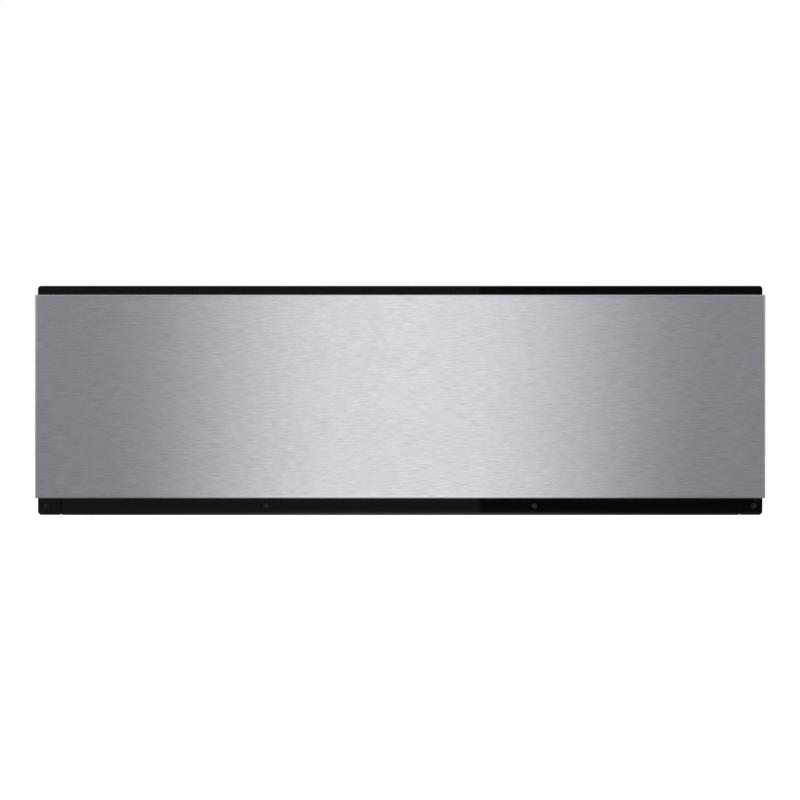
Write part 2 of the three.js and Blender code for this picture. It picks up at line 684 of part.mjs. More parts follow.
for (const { name, sign } of sides) {
  const section = fold([
    [drawerX, DRAWER_BOTTOM],
    [drawerX, drawerTop],
    [tubX, drawerTop],
    [tubX, LEDGE_Z],
  ], THIN_SHEET).map(([x, z]) => [sign * x, z]);
  add(`drawer_${name}_wall`, 'satinStainless', join(
    prism(section, 'y', frontBack, sideBack),
    block(spanX(sign, tubX - GLASS_LEDGE, tubX), [FRONT_WALL_BACK + CLEAR, tubBack - CLEAR],
      [LEDGE_Z, ledgeHigh]),
  ));
  add(`${name}_side_insulation`, 'mineralWool', block(
    spanX(sign, tubX + THIN_SHEET + CLEAR, drawerX - THIN_SHEET - CLEAR),
    [frontBack + THIN_SHEET + CLEAR, sideBack - CLEAR],
    [REFLECTOR_Z, drawerTop - THIN_SHEET - CLEAR],
  ));
}

const rearSection = fold([
  [outerSheetFront, drawerTop],
  [tubBack, drawerTop],
  [tubBack, ledgeHigh],
  [tubBack - GLASS_LEDGE, ledgeHigh],
], THIN_SHEET);
const rearLedgeCorner = (sign) => block(
  spanX(sign, ledgeX, rearWallX + 1),
  [tubBack - GLASS_LEDGE - 1, tubBack],
  [LEDGE_Z - 1, ledgeHigh + 1],
);
add('drawer_rear_wall', 'satinStainless', join(
  cut(
    prism(rearSection, 'x', -rearWallX, rearWallX),
    rearLedgeCorner(-1),
    rearLedgeCorner(1),
    rod('y', 0, fanZ, FAN_INLET_R, tubBack - 1, tubBack + THIN_SHEET + 1, 40),
  ),
  block([-drawerX, drawerX], [outerSheetFront, drawerBack], [DRAWER_BOTTOM, drawerTop]),
));

const frontSection = fold([
  [frontBack, stripLow - CLEAR],
  [frontBack, LEDGE_Z],
  [FRONT_WALL_BACK, LEDGE_Z],
  [FRONT_WALL_BACK, stripLow - CLEAR],
], THIN_SHEET);
add('drawer_front_wall', 'satinStainless', join(
  prism(frontSection, 'x', -rearWallX, rearWallX),
  block([-ledgeX, ledgeX], [FRONT_WALL_BACK, FRONT_WALL_BACK + GLASS_LEDGE], [LEDGE_Z, ledgeHigh]),
));

const floorX = drawerX - THIN_SHEET - CLEAR;
const floorBack = outerSheetFront - CLEAR;
const floorFrontHigh = floorHigh + FLOOR_FRONT_H;
add('drawer_floor', 'galvanised', cut(
  tray([-floorX, floorX], [frontBack, floorBack], [DRAWER_BOTTOM, floorFrontHigh], THIN_SHEET),
  block(
    [-floorX - 1, floorX + 1],
    [frontBack + THIN_SHEET, floorBack + 1],
    [floorHigh + FLOOR_RIM, floorFrontHigh + 1],
  ),
));
add('base_insulation', 'mineralWool', block(
  [-floorX + THIN_SHEET + CLEAR, floorX - THIN_SHEET - CLEAR],
  [frontBack + THIN_SHEET + CLEAR, floorBack - THIN_SHEET - CLEAR],
  [floorHigh + CLEAR, REFLECTOR_Z - CLEAR],
));

// ---------------------------------------------------------------- hot plate

add('glass_plate', 'darkGlass', block(
  [-tubX + GLASS_PLAY, tubX - GLASS_PLAY],
  [tubFront + GLASS_PLAY, tubBack - GLASS_PLAY],
  [glassLow, glassHigh],
));

const reflectorY = [tubFront + REFLECTOR_GAP, tubBack - REFLECTOR_GAP];
const reflectorHigh = REFLECTOR_Z + REFLECTOR_RIM;
const notchHalf = ELEMENT_R + ELEMENT_NOTCH_PLAY;
const rimNotch = (sign, y) => block(
  spanX(sign, reflectorX - 2 * THIN_SHEET, reflectorX + 1),
  [y - notchHalf, y + notchHalf],
  [REFLECTOR_Z + THIN_SHEET, reflectorHigh + 1],
);
add('reflector_tray', 'galvanised', cut(
  tray([-reflectorX, reflectorX], reflectorY, [REFLECTOR_Z, reflectorHigh], THIN_SHEET),
  rimNotch(-1, firstRunY),
  rimNotch(ELEMENT_RUNS % 2 ? 1 : -1, lastRunY),
));

// The element's middle line: straight runs joined by half turns, with a straight tail at each end.
const tailX = reflectorX + ELEMENT_TAIL;
class Serpentine extends THREE.Curve {
  constructor() {
    super();
    this.turnR = runPitch / 2;
    this.stretches = [];
    for (let i = 0; i < ELEMENT_RUNS; i += 1) {
      const sign = i % 2 ? -1 : 1;
      const y = firstRunY + i * runPitch;
      const from = -sign * (i === 0 ? tailX : turnX);
      const to = sign * (i === ELEMENT_RUNS - 1 ? tailX : turnX);
      this.stretches.push({ length: Math.abs(to - from), at: (s) => [from + sign * s, y] });
      if (i < ELEMENT_RUNS - 1) {
        const turn = (s) => {
          const angle = s / this.turnR;
          return [to + sign * this.turnR * Math.sin(angle), y + this.turnR * (1 - Math.cos(angle))];
        };
        this.stretches.push({ length: Math.PI * this.turnR, at: turn });
      }
    }
    this.total = this.stretches.reduce((sum, stretch) => sum + stretch.length, 0);
  }

  getPoint(t, target = new THREE.Vector3()) {
    let left = t * this.total;
    let k = 0;
    while (k < this.stretches.length - 1 && left > this.stretches[k].length) {
      left -= this.stretches[k].length;
      k += 1;
    }
    const [x, y] = this.stretches[k].at(left);
    return target.set(x, y, elementZ);
  }
}

const elementSection = new THREE.Shape(circle(0, 0, ELEMENT_R, 8).map(([u, v]) => new THREE.Vector2(u, v)));
add('heating_element', 'elementSheath', solidFrom(new THREE.ExtrudeGeometry(elementSection, {
  steps: ELEMENT_STEPS,
  extrudePath: new Serpentine(),
})));

const sensorLow = REFLECTOR_Z + THIN_SHEET;
const sensorHigh = glassLow - CLEAR;
add('temperature_sensor', 'zincPlate', turned([
  [0, sensorLow],
  [SENSOR_R, sensorLow],
  [SENSOR_R, sensorLow + SENSOR_FOOT_H],
  [SENSOR_POST_R, sensorLow + 2 * SENSOR_FOOT_H],
  [SENSOR_POST_R, sensorHigh - SENSOR_CAP_H],
  [SENSOR_R, sensorHigh - SENSOR_CAP_H],
  [SENSOR_R, sensorHigh],
  [0, sensorHigh],
], 24), [SENSOR_X, sensorY, 0]);

// ---------------------------------------------------------------- control strip and what hangs under it

const boardHigh = boardLow + BOARD_T;
const boardX = [knobX - BOARD_REACH[0], knobX + BOARD_REACH[1]];
const boardY = [CONTROL_Y + BOARD_BACK - BOARD_HALF_D, CONTROL_Y + BOARD_BACK + BOARD_HALF_D];
const buttonHoleR = BUTTON_R + CLEAR;
const lensHoleR = LENS_R + CLEAR;
const posts = [];
for (const x of [boardX[0] + POST_INSET, boardX[1] - POST_INSET]) {
  for (const y of [boardY[0] + POST_INSET, boardY[1] - POST_INSET]) {
    posts.push(rod('z', x, y, POST_R, boardHigh + CLEAR, drawerTop - 1, 16));
  }
}
add('control_strip', 'blackGloss', cut(
  join(block([-rearWallX, rearWallX], [frontBack, FRONT_WALL_BACK], [stripLow, drawerTop]), ...posts),
  rod('z', knobX, CONTROL_Y, BUSH_R + CLEAR, stripLow - 1, drawerTop + 1),
  rod('z', buttonX, CONTROL_Y, buttonHoleR, stripLow - 1, drawerTop + 1),
  rod('z', lensX, CONTROL_Y, lensHoleR, stripLow - 1, drawerTop + 1, 20),
));

// The board carries the switch under the button, the lamp under the lens, a relay, a transformer and a
// capacitor, and all of them share one soldered body with it.
const boardPart = ([x, y, width, depth, high]) => block(
  [knobX + x - width / 2, knobX + x + width / 2],
  [CONTROL_Y + y - depth / 2, CONTROL_Y + y + depth / 2],
  [boardHigh - BOARD_T / 2, boardHigh + high],
);
const lampHigh = stripLow - LENS_FLANGE - 2 * CLEAR;
add('control_board', 'boardGreen', join(
  block(boardX, boardY, [boardLow, boardHigh]),
  rod('z', lensX, CONTROL_Y, LENS_R, boardHigh - BOARD_T / 2, lampHigh, 16),
  boardPart([-BUTTON_APART, 0, SWITCH_W, SWITCH_W, SWITCH_H]),
  ...BOARD_PARTS.map(boardPart),
));

const selectorLow = boardHigh + CLEAR;
const selectorHigh = selectorLow + SELECTOR_H;
const half = SELECTOR_SIZE / 2;
add('heat_selector', 'greyPlastic', cut(
  join(
    block([knobX - half, knobX + half], [CONTROL_Y - half, CONTROL_Y + half], [selectorLow, selectorHigh]),
    rod('z', knobX, CONTROL_Y, BUSH_R, selectorHigh - 1, drawerTop - 1),
  ),
  rod('z', knobX, CONTROL_Y, SHAFT_R + SHAFT_PLAY, selectorLow + SELECTOR_FLOOR_T, drawerTop, 24),
));

add('indicator_lens', 'amberLens', turned([
  [0, stripLow - LENS_FLANGE - CLEAR],
  [LENS_R + LENS_FLANGE, stripLow - LENS_FLANGE - CLEAR],
  [LENS_R + LENS_FLANGE, stripLow - CLEAR],
  [LENS_R, stripLow - CLEAR],
  [LENS_R, drawerTop],
  [LENS_R * 0.6, drawerTop + LENS_PROUD],
  [0, drawerTop + LENS_PROUD],
], 20), [lensX, CONTROL_Y, 0]);

// The knob, about its own axis, with height 0 on the strip.
function controlKnob() {
  const low = CLEAR;
  const shaftEnd = selectorLow + 2 * SELECTOR_FLOOR_T - drawerTop;
  const body = turned([
    [0, shaftEnd],
    [SHAFT_R, shaftEnd],
    [SHAFT_R, low],
    [KNOB_R, low],
    [KNOB_R, low + 1.2],
    [KNOB_R - 1.2, low + 2.4],
    [KNOB_R - 1.8, KNOB_H - 1.5],
    [KNOB_R - 3.3, KNOB_H],
    [0, KNOB_H],
  ], 48);
  const flutes = [];
  for (let i = 0; i < KNOB_FLUTES; i += 1) {
    const angle = ((i + 0.5) / KNOB_FLUTES) * 2 * Math.PI;
    const [x, y] = [Math.cos(angle) * (KNOB_R - 0.9), Math.sin(angle) * (KNOB_R - 0.9)];
    flutes.push(rod('z', x, y, KNOB_FLUTE_R, low + 2.6, KNOB_H + 1, 8));
  }
  const pointer = block(
    [-KNOB_POINTER_W / 2, KNOB_POINTER_W / 2],
    [KNOB_R * 0.35, KNOB_R + 1],
    [KNOB_H - KNOB_POINTER_DEPTH, KNOB_H + 1],
  );
  return cut(body, ...flutes, pointer);
}
add('control_knob', 'satinStainless', controlKnob(), [knobX, CONTROL_Y, drawerTop]);

const buttonStemLow = boardHigh + SWITCH_H + CLEAR + BUTTON_TRAVEL;
const buttonFlangeLow = stripLow - CLEAR - BUTTON_FLANGE;
const buttonHigh = drawerTop + BUTTON_PROUD;
add('power_button', 'satinStainless', turned([
  [0, buttonStemLow],
  [BUTTON_STEM_R, buttonStemLow],
  [BUTTON_STEM_R, buttonFlangeLow],
  [BUTTON_R + BUTTON_FLANGE_LAP, buttonFlangeLow],
  [BUTTON_R + BUTTON_FLANGE_LAP, buttonFlangeLow + BUTTON_FLANGE],
  [BUTTON_R, buttonFlangeLow + BUTTON_FLANGE],
  [BUTTON_R, buttonHigh - BUTTON_EDGE_R],
  [BUTTON_R - BUTTON_EDGE_R, buttonHigh],
  [BUTTON_R * 0.6, buttonHigh - BUTTON_DISH[0]],
  [0, buttonHigh - BUTTON_DISH[1]],
], 36), [buttonX, CONTROL_Y, 0]);

// ---------------------------------------------------------------- circulation fan in the rear wall

function roundedRect(halfW, halfH, radius, midX, midZ) {
  const corners = [[1, 1, 0], [-1, 1, 1], [-1, -1, 2], [1, -1, 3]];
  return corners.flatMap(([sx, sz, k]) => {
    const [x, z] = [midX + sx * (halfW - radius), midZ + sz * (halfH - radius)];
    return arc(x, z, radius, k * QUARTER, (k + 1) * QUARTER, 4);
  });
}

const grilleSlots = [];
for (let i = 0; i < GRILLE_SLOTS; i += 1) {
  const z = fanZ + (i - (GRILLE_SLOTS - 1) / 2) * GRILLE_SLOT_PITCH;
  const outline = roundedRect(GRILLE_SLOT_W / 2, GRILLE_SLOT_H / 2, GRILLE_SLOT_H / 2 - 0.1, 0, z);
  grilleSlots.push(prism(outline, 'y', tubBack - GRILLE_T - 2, tubBack + 1));
}
const grilleOutline = roundedRect(GRILLE_W / 2, (grilleHigh - grilleLow) / 2, GRILLE_CORNER_R, 0, fanZ);
add('fan_grille', 'satinStainless', cut(
  prism(grilleOutline, 'y', tubBack - GRILLE_T, tubBack),
  ...grilleSlots,
));

// Motor along +Z from its shaft end to the wall that carries it, height 0 on that wall.
const motorLow = -MOTOR_DEPTH - 1;
const shaftLow = motorLow - IMPELLER_DEPTH + 1;
const motorBody = join(
  turned([
    [0, shaftLow],
    [SHAFT_R, shaftLow],
    [SHAFT_R, motorLow],
    [MOTOR_R - MOTOR_EDGE, motorLow],
    [MOTOR_R, motorLow + MOTOR_EDGE],
    [MOTOR_R, 0],
    [0, 0],
  ], 40),
  block([-MOTOR_EAR, MOTOR_EAR], [-MOTOR_EAR_HALF_H, MOTOR_EAR_HALF_H], [-MOTOR_EAR_T, 0]),
);
add('fan_motor', 'blackPlastic', motorBody, [0, outerSheetFront, fanZ], [-QUARTER, 0, 0]);

// Impeller along +Z from its inlet side to its back plate, height 0 on the back plate's rear face.
function impeller() {
  const depth = IMPELLER_DEPTH;
  const parts = [
    rod('z', 0, 0, IMPELLER_R, -IMPELLER_PLATE_T, 0, 48),
    rod('z', 0, 0, IMPELLER_HUB_R, -depth, 0, 32),
    cut(
      rod('z', 0, 0, IMPELLER_R, -depth, -depth + IMPELLER_PLATE_T, 48),
      rod('z', 0, 0, IMPELLER_R - IMPELLER_RING_W, -depth - 1, 0, 48),
    ),
  ];
  for (let i = 0; i < BLADE_COUNT; i += 1) {
    const angle = (i / BLADE_COUNT) * 2 * Math.PI;
    const inner = [BLADE_INNER_R * Math.cos(angle), BLADE_INNER_R * Math.sin(angle)];
    const tip = IMPELLER_R - BLADE_TIP_GAP;
    const outer = [tip * Math.cos(angle + BLADE_SWEEP), tip * Math.sin(angle + BLADE_SWEEP)];
    const run = Math.hypot(outer[0] - inner[0], outer[1] - inner[1]);
    const side = [
      (-(outer[1] - inner[1]) / run) * (BLADE_T / 2),
      ((outer[0] - inner[0]) / run) * (BLADE_T / 2),
    ];
    parts.push(prism([
      [inner[0] + side[0], inner[1] + side[1]],
      [inner[0] - side[0], inner[1] - side[1]],
      [outer[0] - side[0], outer[1] - side[1]],
      [outer[0] + side[0], outer[1] + side[1]],
    ], 'z', -depth + 0.2, -0.2));
  }
  return cut(join(...parts), rod('z', 0, 0, SHAFT_R + SHAFT_PLAY, -depth - 1, 1, 24));
}
const impellerBack = outerSheetFront + motorLow - IMPELLER_GAP;
add('fan_impeller', 'blackPlastic', impeller(), [0, impellerBack, fanZ], [-QUARTER, 0, 0]);

// ---------------------------------------------------------------- push-to-open latch

add('latch_striker', 'zincPlate', block(
  [-STRIKER_HALF, STRIKER_HALF],
  [drawerBack, strikerFace],
  [LATCH_Z - STRIKER_HALF, LATCH_Z + STRIKER_HALF],
));

const plungerTip = strikerFace + CLEAR;
const plungerEnd = plungerTip + PLUNGER_LENGTH;
const latchUp = [LATCH_Z - LATCH_HALF, LATCH_Z + LATCH_HALF];
const latchBoreEnd = plungerEnd + PUSH_TRAVEL + LATCH_BORE_SPARE;
add('latch_case', 'greyPlastic', cut(
  join(
    block([-LATCH_HALF, LATCH_HALF], [latchFront, rearWallFront], latchUp),
    block([-LATCH_FLANGE_HALF, LATCH_FLANGE_HALF], [rearWallFront - LATCH_FLANGE_T, rearWallFront], latchUp),
  ),
  rod('y', 0, LATCH_Z, PLUNGER_R + PLUNGER_PLAY, latchFront - 1, latchBoreEnd, 28),
));

// Plunger along +Z from its tip, height 0 at the tip.
add('latch_plunger', 'blackPlastic', turned([
  [0, 0],
  [PLUNGER_R - PLUNGER_TIP_R, 0],
  [PLUNGER_R, PLUNGER_TIP_R],
  [PLUNGER_R, PLUNGER_LENGTH],
  [0, PLUNGER_LENGTH],
], 28), [0, plungerTip, LATCH_Z], [-QUARTER, 0, 0]);

// ---------------------------------------------------------------- cable arm behind the drawer

// One link as an open duct, along +X from its first pivot to its second, height 0 at its underside.
function armLink(firstR, secondR) {
  const end = ARM_W / 2;
  const outline = [
    ...arc(0, 0, end, QUARTER, 3 * QUARTER, 10),
    ...arc(armReach, 0, end, -QUARTER, QUARTER, 10),
  ];
  const inner = end - ARM_WALL;
  return cut(
    prism(outline, 'z', 0, ARM_H),
    block([ARM_W, armReach - ARM_W], [-inner, inner], [-1, ARM_H - ARM_WALL]),
    rod('z', 0, 0, firstR, -1, ARM_H + 1, 28),
    rod('z', armReach, 0, secondR, -1, ARM_H + 1, 28),
  );
}

const swivelHole = SWIVEL_R + SWIVEL_PLAY;
add('cable_arm_lower', 'blackPlastic', armLink(swivelHole, swivelHole),
  [armPivotX, armBaseY, ARM_Z], [0, 0, Math.PI + armAngle]);
add('cable_arm_upper', 'blackPlastic', armLink(swivelHole, ARM_EYE_R),
  [elbowX, elbowY, upperArmZ], [0, 0, -armAngle]);

// Swivel pins: a shaft with heads, and a thin collar where two pieces would rub.
function swivel(low, high, collars) {
  const profile = [[0, low], [SWIVEL_HEAD_R, low], [SWIVEL_HEAD_R, low + SWIVEL_HEAD_T],
    [SWIVEL_R, low + SWIVEL_HEAD_T]];
  for (const [from, to] of collars) {
    profile.push([SWIVEL_R, from], [SWIVEL_HEAD_R, from], [SWIVEL_HEAD_R, to], [SWIVEL_R, to]);
  }
  profile.push([SWIVEL_R, high - SWIVEL_HEAD_T], [SWIVEL_HEAD_R, high - SWIVEL_HEAD_T],
    [SWIVEL_HEAD_R, high], [0, high]);
  return turned(profile, 28);
}

const tabHigh = ARM_Z - CLEAR - ARM_GAP;
const tabLow = tabHigh - BRACKET_T;
const lowerArmHigh = ARM_Z + ARM_H;
const upperArmHigh = upperArmZ + ARM_H;
const baseSwivel = swivel(
  tabLow - CLEAR - SWIVEL_HEAD_T,
  lowerArmHigh + CLEAR + SWIVEL_HEAD_T,
  [[tabHigh + CLEAR, ARM_Z - CLEAR]],
);
add('arm_base_swivel', 'zincPlate', baseSwivel, [armPivotX, armBaseY, 0]);
add('arm_elbow_swivel', 'zincPlate',
  swivel(ARM_Z - CLEAR - SWIVEL_HEAD_T, upperArmHigh + CLEAR + SWIVEL_HEAD_T,
    [[lowerArmHigh + CLEAR, upperArmZ - CLEAR]]),
  [elbowX, elbowY, 0]);

// A tab with a round end, as an (x, y) outline.
function tabOutline(y, wallY) {
  const end = wallY > y ? [Math.PI, 2 * Math.PI] : [0, Math.PI];
  const r = ARM_W / 2;
  const tip = arc(armPivotX, y, r, end[0], end[1], 12);
  const lastX = tip[tip.length - 1][0];
  return [...tip, [lastX, wallY], [tip[0][0], wallY]];
}

add('arm_bracket', 'zincPlate', cut(
  join(
    block([armPivotX - BRACKET_HALF_W, armPivotX + BRACKET_HALF_W],
      [rearWallFront - BRACKET_PLATE_T, rearWallFront], [ARM_Z - BRACKET_LOW, ARM_Z + BRACKET_HIGH]),
    prism(tabOutline(armBaseY, rearWallFront), 'z', tabLow, tabHigh),
  ),
  rod('z', armPivotX, armBaseY, swivelHole, tabLow - 1, tabHigh + 1, 28),
));

const lugHigh = upperArmZ - CLEAR;
const pin = turned([
  [0, lugHigh - 1],
  [ARM_PIN_R, lugHigh - 1],
  [ARM_PIN_R, upperArmHigh + CLEAR],
  [ARM_WASHER_R, upperArmHigh + CLEAR],
  [ARM_WASHER_R, upperArmHigh + CLEAR + ARM_WASHER_T],
  [0, upperArmHigh + CLEAR + ARM_WASHER_T],
], 28);
const placedPin = solidFrom(geometryFrom(pin).translate(armPivotX, armPivotY, 0));
add('arm_lug', 'zincPlate', join(
  block([armPivotX - BRACKET_HALF_W, armPivotX + BRACKET_HALF_W],
    [drawerBack, drawerBack + BRACKET_PLATE_T], [ARM_Z - BRACKET_LOW, lugHigh]),
  prism(tabOutline(armPivotY, drawerBack), 'z', lugHigh - BRACKET_T, lugHigh),
  placedPin,
));

export default warmingDrawer;
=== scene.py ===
# %% [markdown]
# # A built-in warming drawer
#
# This lesson dresses a CAD model of a warming drawer: a steel box that is built into a kitchen cabinet, with
# a drawer that keeps plates and food warm. The CAD model fixes every size and every moving body. Here the
# pieces that show get their rounded edges, pressed fields, fixings and finishes.
#
# The sizes could be typed in again by hand, but they would soon drift apart from the CAD model. So the frame
# is loaded first and is never moved, and what is made later takes its place from the frame's boxes.

# %% Load the frame
import json
import math

import bmesh
import bpy
from mathutils import Matrix, Vector, noise

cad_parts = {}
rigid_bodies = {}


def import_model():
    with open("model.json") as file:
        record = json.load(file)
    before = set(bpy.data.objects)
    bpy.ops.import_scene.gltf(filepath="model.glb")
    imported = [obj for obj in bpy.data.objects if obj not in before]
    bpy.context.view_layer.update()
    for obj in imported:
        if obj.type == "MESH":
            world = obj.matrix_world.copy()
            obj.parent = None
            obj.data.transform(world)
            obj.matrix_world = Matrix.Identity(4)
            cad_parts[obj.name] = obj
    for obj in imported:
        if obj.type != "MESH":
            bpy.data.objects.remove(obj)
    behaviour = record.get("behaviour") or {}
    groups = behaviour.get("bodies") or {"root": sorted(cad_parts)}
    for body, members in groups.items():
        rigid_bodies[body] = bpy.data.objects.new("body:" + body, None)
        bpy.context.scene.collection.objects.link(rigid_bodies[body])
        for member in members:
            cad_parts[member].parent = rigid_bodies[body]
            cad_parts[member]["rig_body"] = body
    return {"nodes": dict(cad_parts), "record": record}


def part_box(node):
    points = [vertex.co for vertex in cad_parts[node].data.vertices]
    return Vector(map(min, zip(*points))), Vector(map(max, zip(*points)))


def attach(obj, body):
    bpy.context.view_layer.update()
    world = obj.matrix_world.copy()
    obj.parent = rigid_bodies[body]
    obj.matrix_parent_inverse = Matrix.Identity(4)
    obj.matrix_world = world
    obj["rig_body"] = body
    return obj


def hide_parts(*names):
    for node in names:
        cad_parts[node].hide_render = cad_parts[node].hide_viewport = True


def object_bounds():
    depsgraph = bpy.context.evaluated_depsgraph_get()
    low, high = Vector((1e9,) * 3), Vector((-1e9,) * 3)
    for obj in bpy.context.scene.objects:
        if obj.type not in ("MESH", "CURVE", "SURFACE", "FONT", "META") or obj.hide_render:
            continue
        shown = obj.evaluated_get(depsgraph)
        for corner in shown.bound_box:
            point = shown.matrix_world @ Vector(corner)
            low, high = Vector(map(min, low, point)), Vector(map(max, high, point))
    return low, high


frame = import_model()
cad_low, cad_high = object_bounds()
MM = 0.001
print("CAD size in mm:", [round(v / MM, 1) for v in cad_high - cad_low])

# %% [markdown]
# ## Two small tools for materials
#
# Paint cards and screens give colours as sRGB hex values, but a renderer adds up light in linear values, so
# one function turns the first into the second. The other adds a shader node, sets what is given by name and
# plugs in what is given as a link: an output, or a node whose first output is meant. Nodes could be placed by
# hand in the editor as well, but written this way a material reads like a recipe, one ingredient on each
# line, and can be made again at any time.

# %% Colour and node tools
def linear(hex_colour):
    channels = [int(hex_colour[i:i + 2], 16) / 255 for i in (1, 3, 5)]
    return tuple(c / 12.92 if c <= 0.04045 else ((c + 0.055) / 1.055) ** 2.4 for c in channels) + (1.0,)


def add_node(tree, kind, settings=None, links=None):
    node = tree.nodes.new(kind)
    for name, value in (settings or {}).items():
        if isinstance(name, int) or name in node.inputs:
            node.inputs[name].default_value = value
        else:
            setattr(node, name, value)
    for name, source in (links or {}).items():
        is_socket = isinstance(source, bpy.types.NodeSocket)
        tree.links.new(source if is_socket else source.outputs[0], node.inputs[name])
    return node


def new_finish(name, hex_colour, roughness, metallic=0.0):
    finish = bpy.data.materials.new(name)
    finish.use_nodes = True
    shader = finish.node_tree.nodes["Principled BSDF"]
    shader.inputs["Base Color"].default_value = linear(hex_colour)
    shader.inputs["Roughness"].default_value = roughness
    shader.inputs["Metallic"].default_value = metallic
    return finish, finish.node_tree, shader


print("mid grey #808080 is", round(linear("#808080")[0], 3), "in linear light")

# %% [markdown]
# ## The camera
#
# The photograph looks straight at the front, with its lines parallel, as a very long lens does. A camera
# without perspective would draw them so too. A lens of 1200 mm from almost 28 m keeps a trace of perspective,
# as every real lens does. 827.6 mm of the front's plane fill the picture's width.

# %% Camera
FRONT_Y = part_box("front_panel")[0].y
PICTURE_WIDTH = 827.6 * MM
PICTURE_CENTRE = (-0.2 * MM, 100.95 * MM)
LENS_MM = 1200
camera_data = bpy.data.cameras.new("camera")
camera_data.lens = LENS_MM
camera_distance = PICTURE_WIDTH * LENS_MM / camera_data.sensor_width
camera_data.clip_end = 2 * camera_distance
camera = bpy.data.objects.new("camera", camera_data)
camera.location = (PICTURE_CENTRE[0], FRONT_Y - camera_distance, PICTURE_CENTRE[1])
camera.rotation_euler = (math.radians(90), 0, 0)
bpy.context.scene.collection.objects.link(camera)
bpy.context.scene.camera = camera
print("camera stands", round(camera_distance, 2), "m in front of the panel")

# %% [markdown]
# ## The white room
#
# The drawer lies in a white room. Steel and black enamel show little of their own colour: they show what
# stands around them. More lamps would make the ground white, but would burn out the steel, and a room that is
# white all round would turn the steel front white. So the Light Path node tells the rays apart: the room is
# white where the camera sees it, and a quiet grey in reflections. The grey gets lighter above and behind the
# drawer. The front hardly mirrors those parts in its own view, and the other sides look brighter for it.

# %% White room
scene = bpy.context.scene
scene.view_settings.view_transform = "Standard"
REFLECTED_GREY = linear("#99989D")
ROOM_LIGHT = 0.75
# What a ray's direction does to the grey. Its Z is 0 level and 1 straight up, its Y is 1 straight back.
LIGHTER_ABOVE = {"From Min": 0.2, "From Max": 0.9, "To Min": 1.0, "To Max": 2.1}
LIGHTER_BEHIND = {"From Min": -0.1, "From Max": 0.6, "To Max": 1.1}
world = bpy.data.worlds.new("white_room")
scene.world = world
world.use_nodes = True
room = world.node_tree
room.nodes.clear()
path = add_node(room, "ShaderNodeLightPath")
seen = add_node(room, "ShaderNodeMath", {"operation": "MAXIMUM"},
                {0: path.outputs["Is Camera Ray"], 1: path.outputs["Is Transmission Ray"]})
level = add_node(room, "ShaderNodeMapRange", {"To Min": ROOM_LIGHT, "To Max": 1.0},
                 {"Value": seen})
walls = add_node(room, "ShaderNodeBackground", {"Color": (1, 1, 1, 1)}, {"Strength": level})
way = add_node(room, "ShaderNodeSeparateXYZ",
               links={"Vector": add_node(room, "ShaderNodeTexCoord").outputs["Generated"]})
above = add_node(room, "ShaderNodeMapRange", {"interpolation_type": "SMOOTHSTEP", **LIGHTER_ABOVE},
                 {"Value": way.outputs["Z"]})
beyond = add_node(room, "ShaderNodeMapRange", {"interpolation_type": "SMOOTHSTEP", **LIGHTER_BEHIND},
                  {"Value": way.outputs["Y"]})
lighter = add_node(room, "ShaderNodeMath", {"operation": "ADD"},
                   {0: above, 1: beyond})
mirrored = add_node(room, "ShaderNodeBackground", {"Color": REFLECTED_GREY},
                    {"Strength": lighter})
either = add_node(room, "ShaderNodeMixShader", links={0: path.outputs["Is Glossy Ray"],
                                                      1: walls, 2: mirrored})
add_node(room, "ShaderNodeOutputWorld", links={"Surface": either})
print("the room's mirrored grey:", [round(c, 3) for c in REFLECTED_GREY[:3]])

# %% [markdown]
# ## The strip of light
#
# The soft upright band in the front's middle is the reflection of a long lit strip, such as a row of tubes
# behind cloth, that runs from the drawer towards the camera. A lamp of that shape would light the table too
# and bleach it. So the strip is drawn where the front mirrors it, into the table's reflection and into a
# cloth canopy over it. Each place is lit by its distance from the strip's middle line: full near it, then
# falling off smoothly to both sides.

# %% Strip of light
STRIP_X = 5 * MM
STRIP_HALF = 316 * MM
STRIP_FLAT = 50 * MM
STRIP_LIGHT = 1.16
STRIP_START = (FRONT_Y + 2 * MM, FRONT_Y - 6 * MM)


def strip_strength(tree, place, off):
    fade = add_node(tree, "ShaderNodeMapRange",
                    {"interpolation_type": "SMOOTHSTEP", "From Min": STRIP_HALF, "From Max": STRIP_FLAT,
                     "To Min": 0.0, "To Max": STRIP_LIGHT}, {"Value": off})
    started = add_node(tree, "ShaderNodeMapRange",
                       {"From Min": STRIP_START[0], "From Max": STRIP_START[1]},
                       {"Value": place.outputs["Y"]})
    return add_node(tree, "ShaderNodeMath", {"operation": "MULTIPLY"},
                    {0: started, 1: fade})


print("the strip of light is", round(2 * STRIP_HALF / MM), "mm wide")

# %% [markdown]
# ## What the rest of the table mirrors
#
# Beside the strip the mirrored table is the room's grey. The sides, the rear and the open tub would look dull
# if they mirrored nothing but that, so the table is lighter behind the front and far out to both sides, where
# the front itself never mirrors it. Under the drawer no light gets in, and the table there is dark, which
# sets the box down on it.

# %% Grey of the table
FAR_LIGHT = 0.62
LIGHTER_FROM_Y = (FRONT_Y + 0.02, 0.1)
LIGHTER_FROM_X = (0.55, 0.95)
SIDES_NEAR_Y = (FRONT_Y - 1.5, FRONT_Y - 0.7)
SHADE_WIDTH = 12 * MM


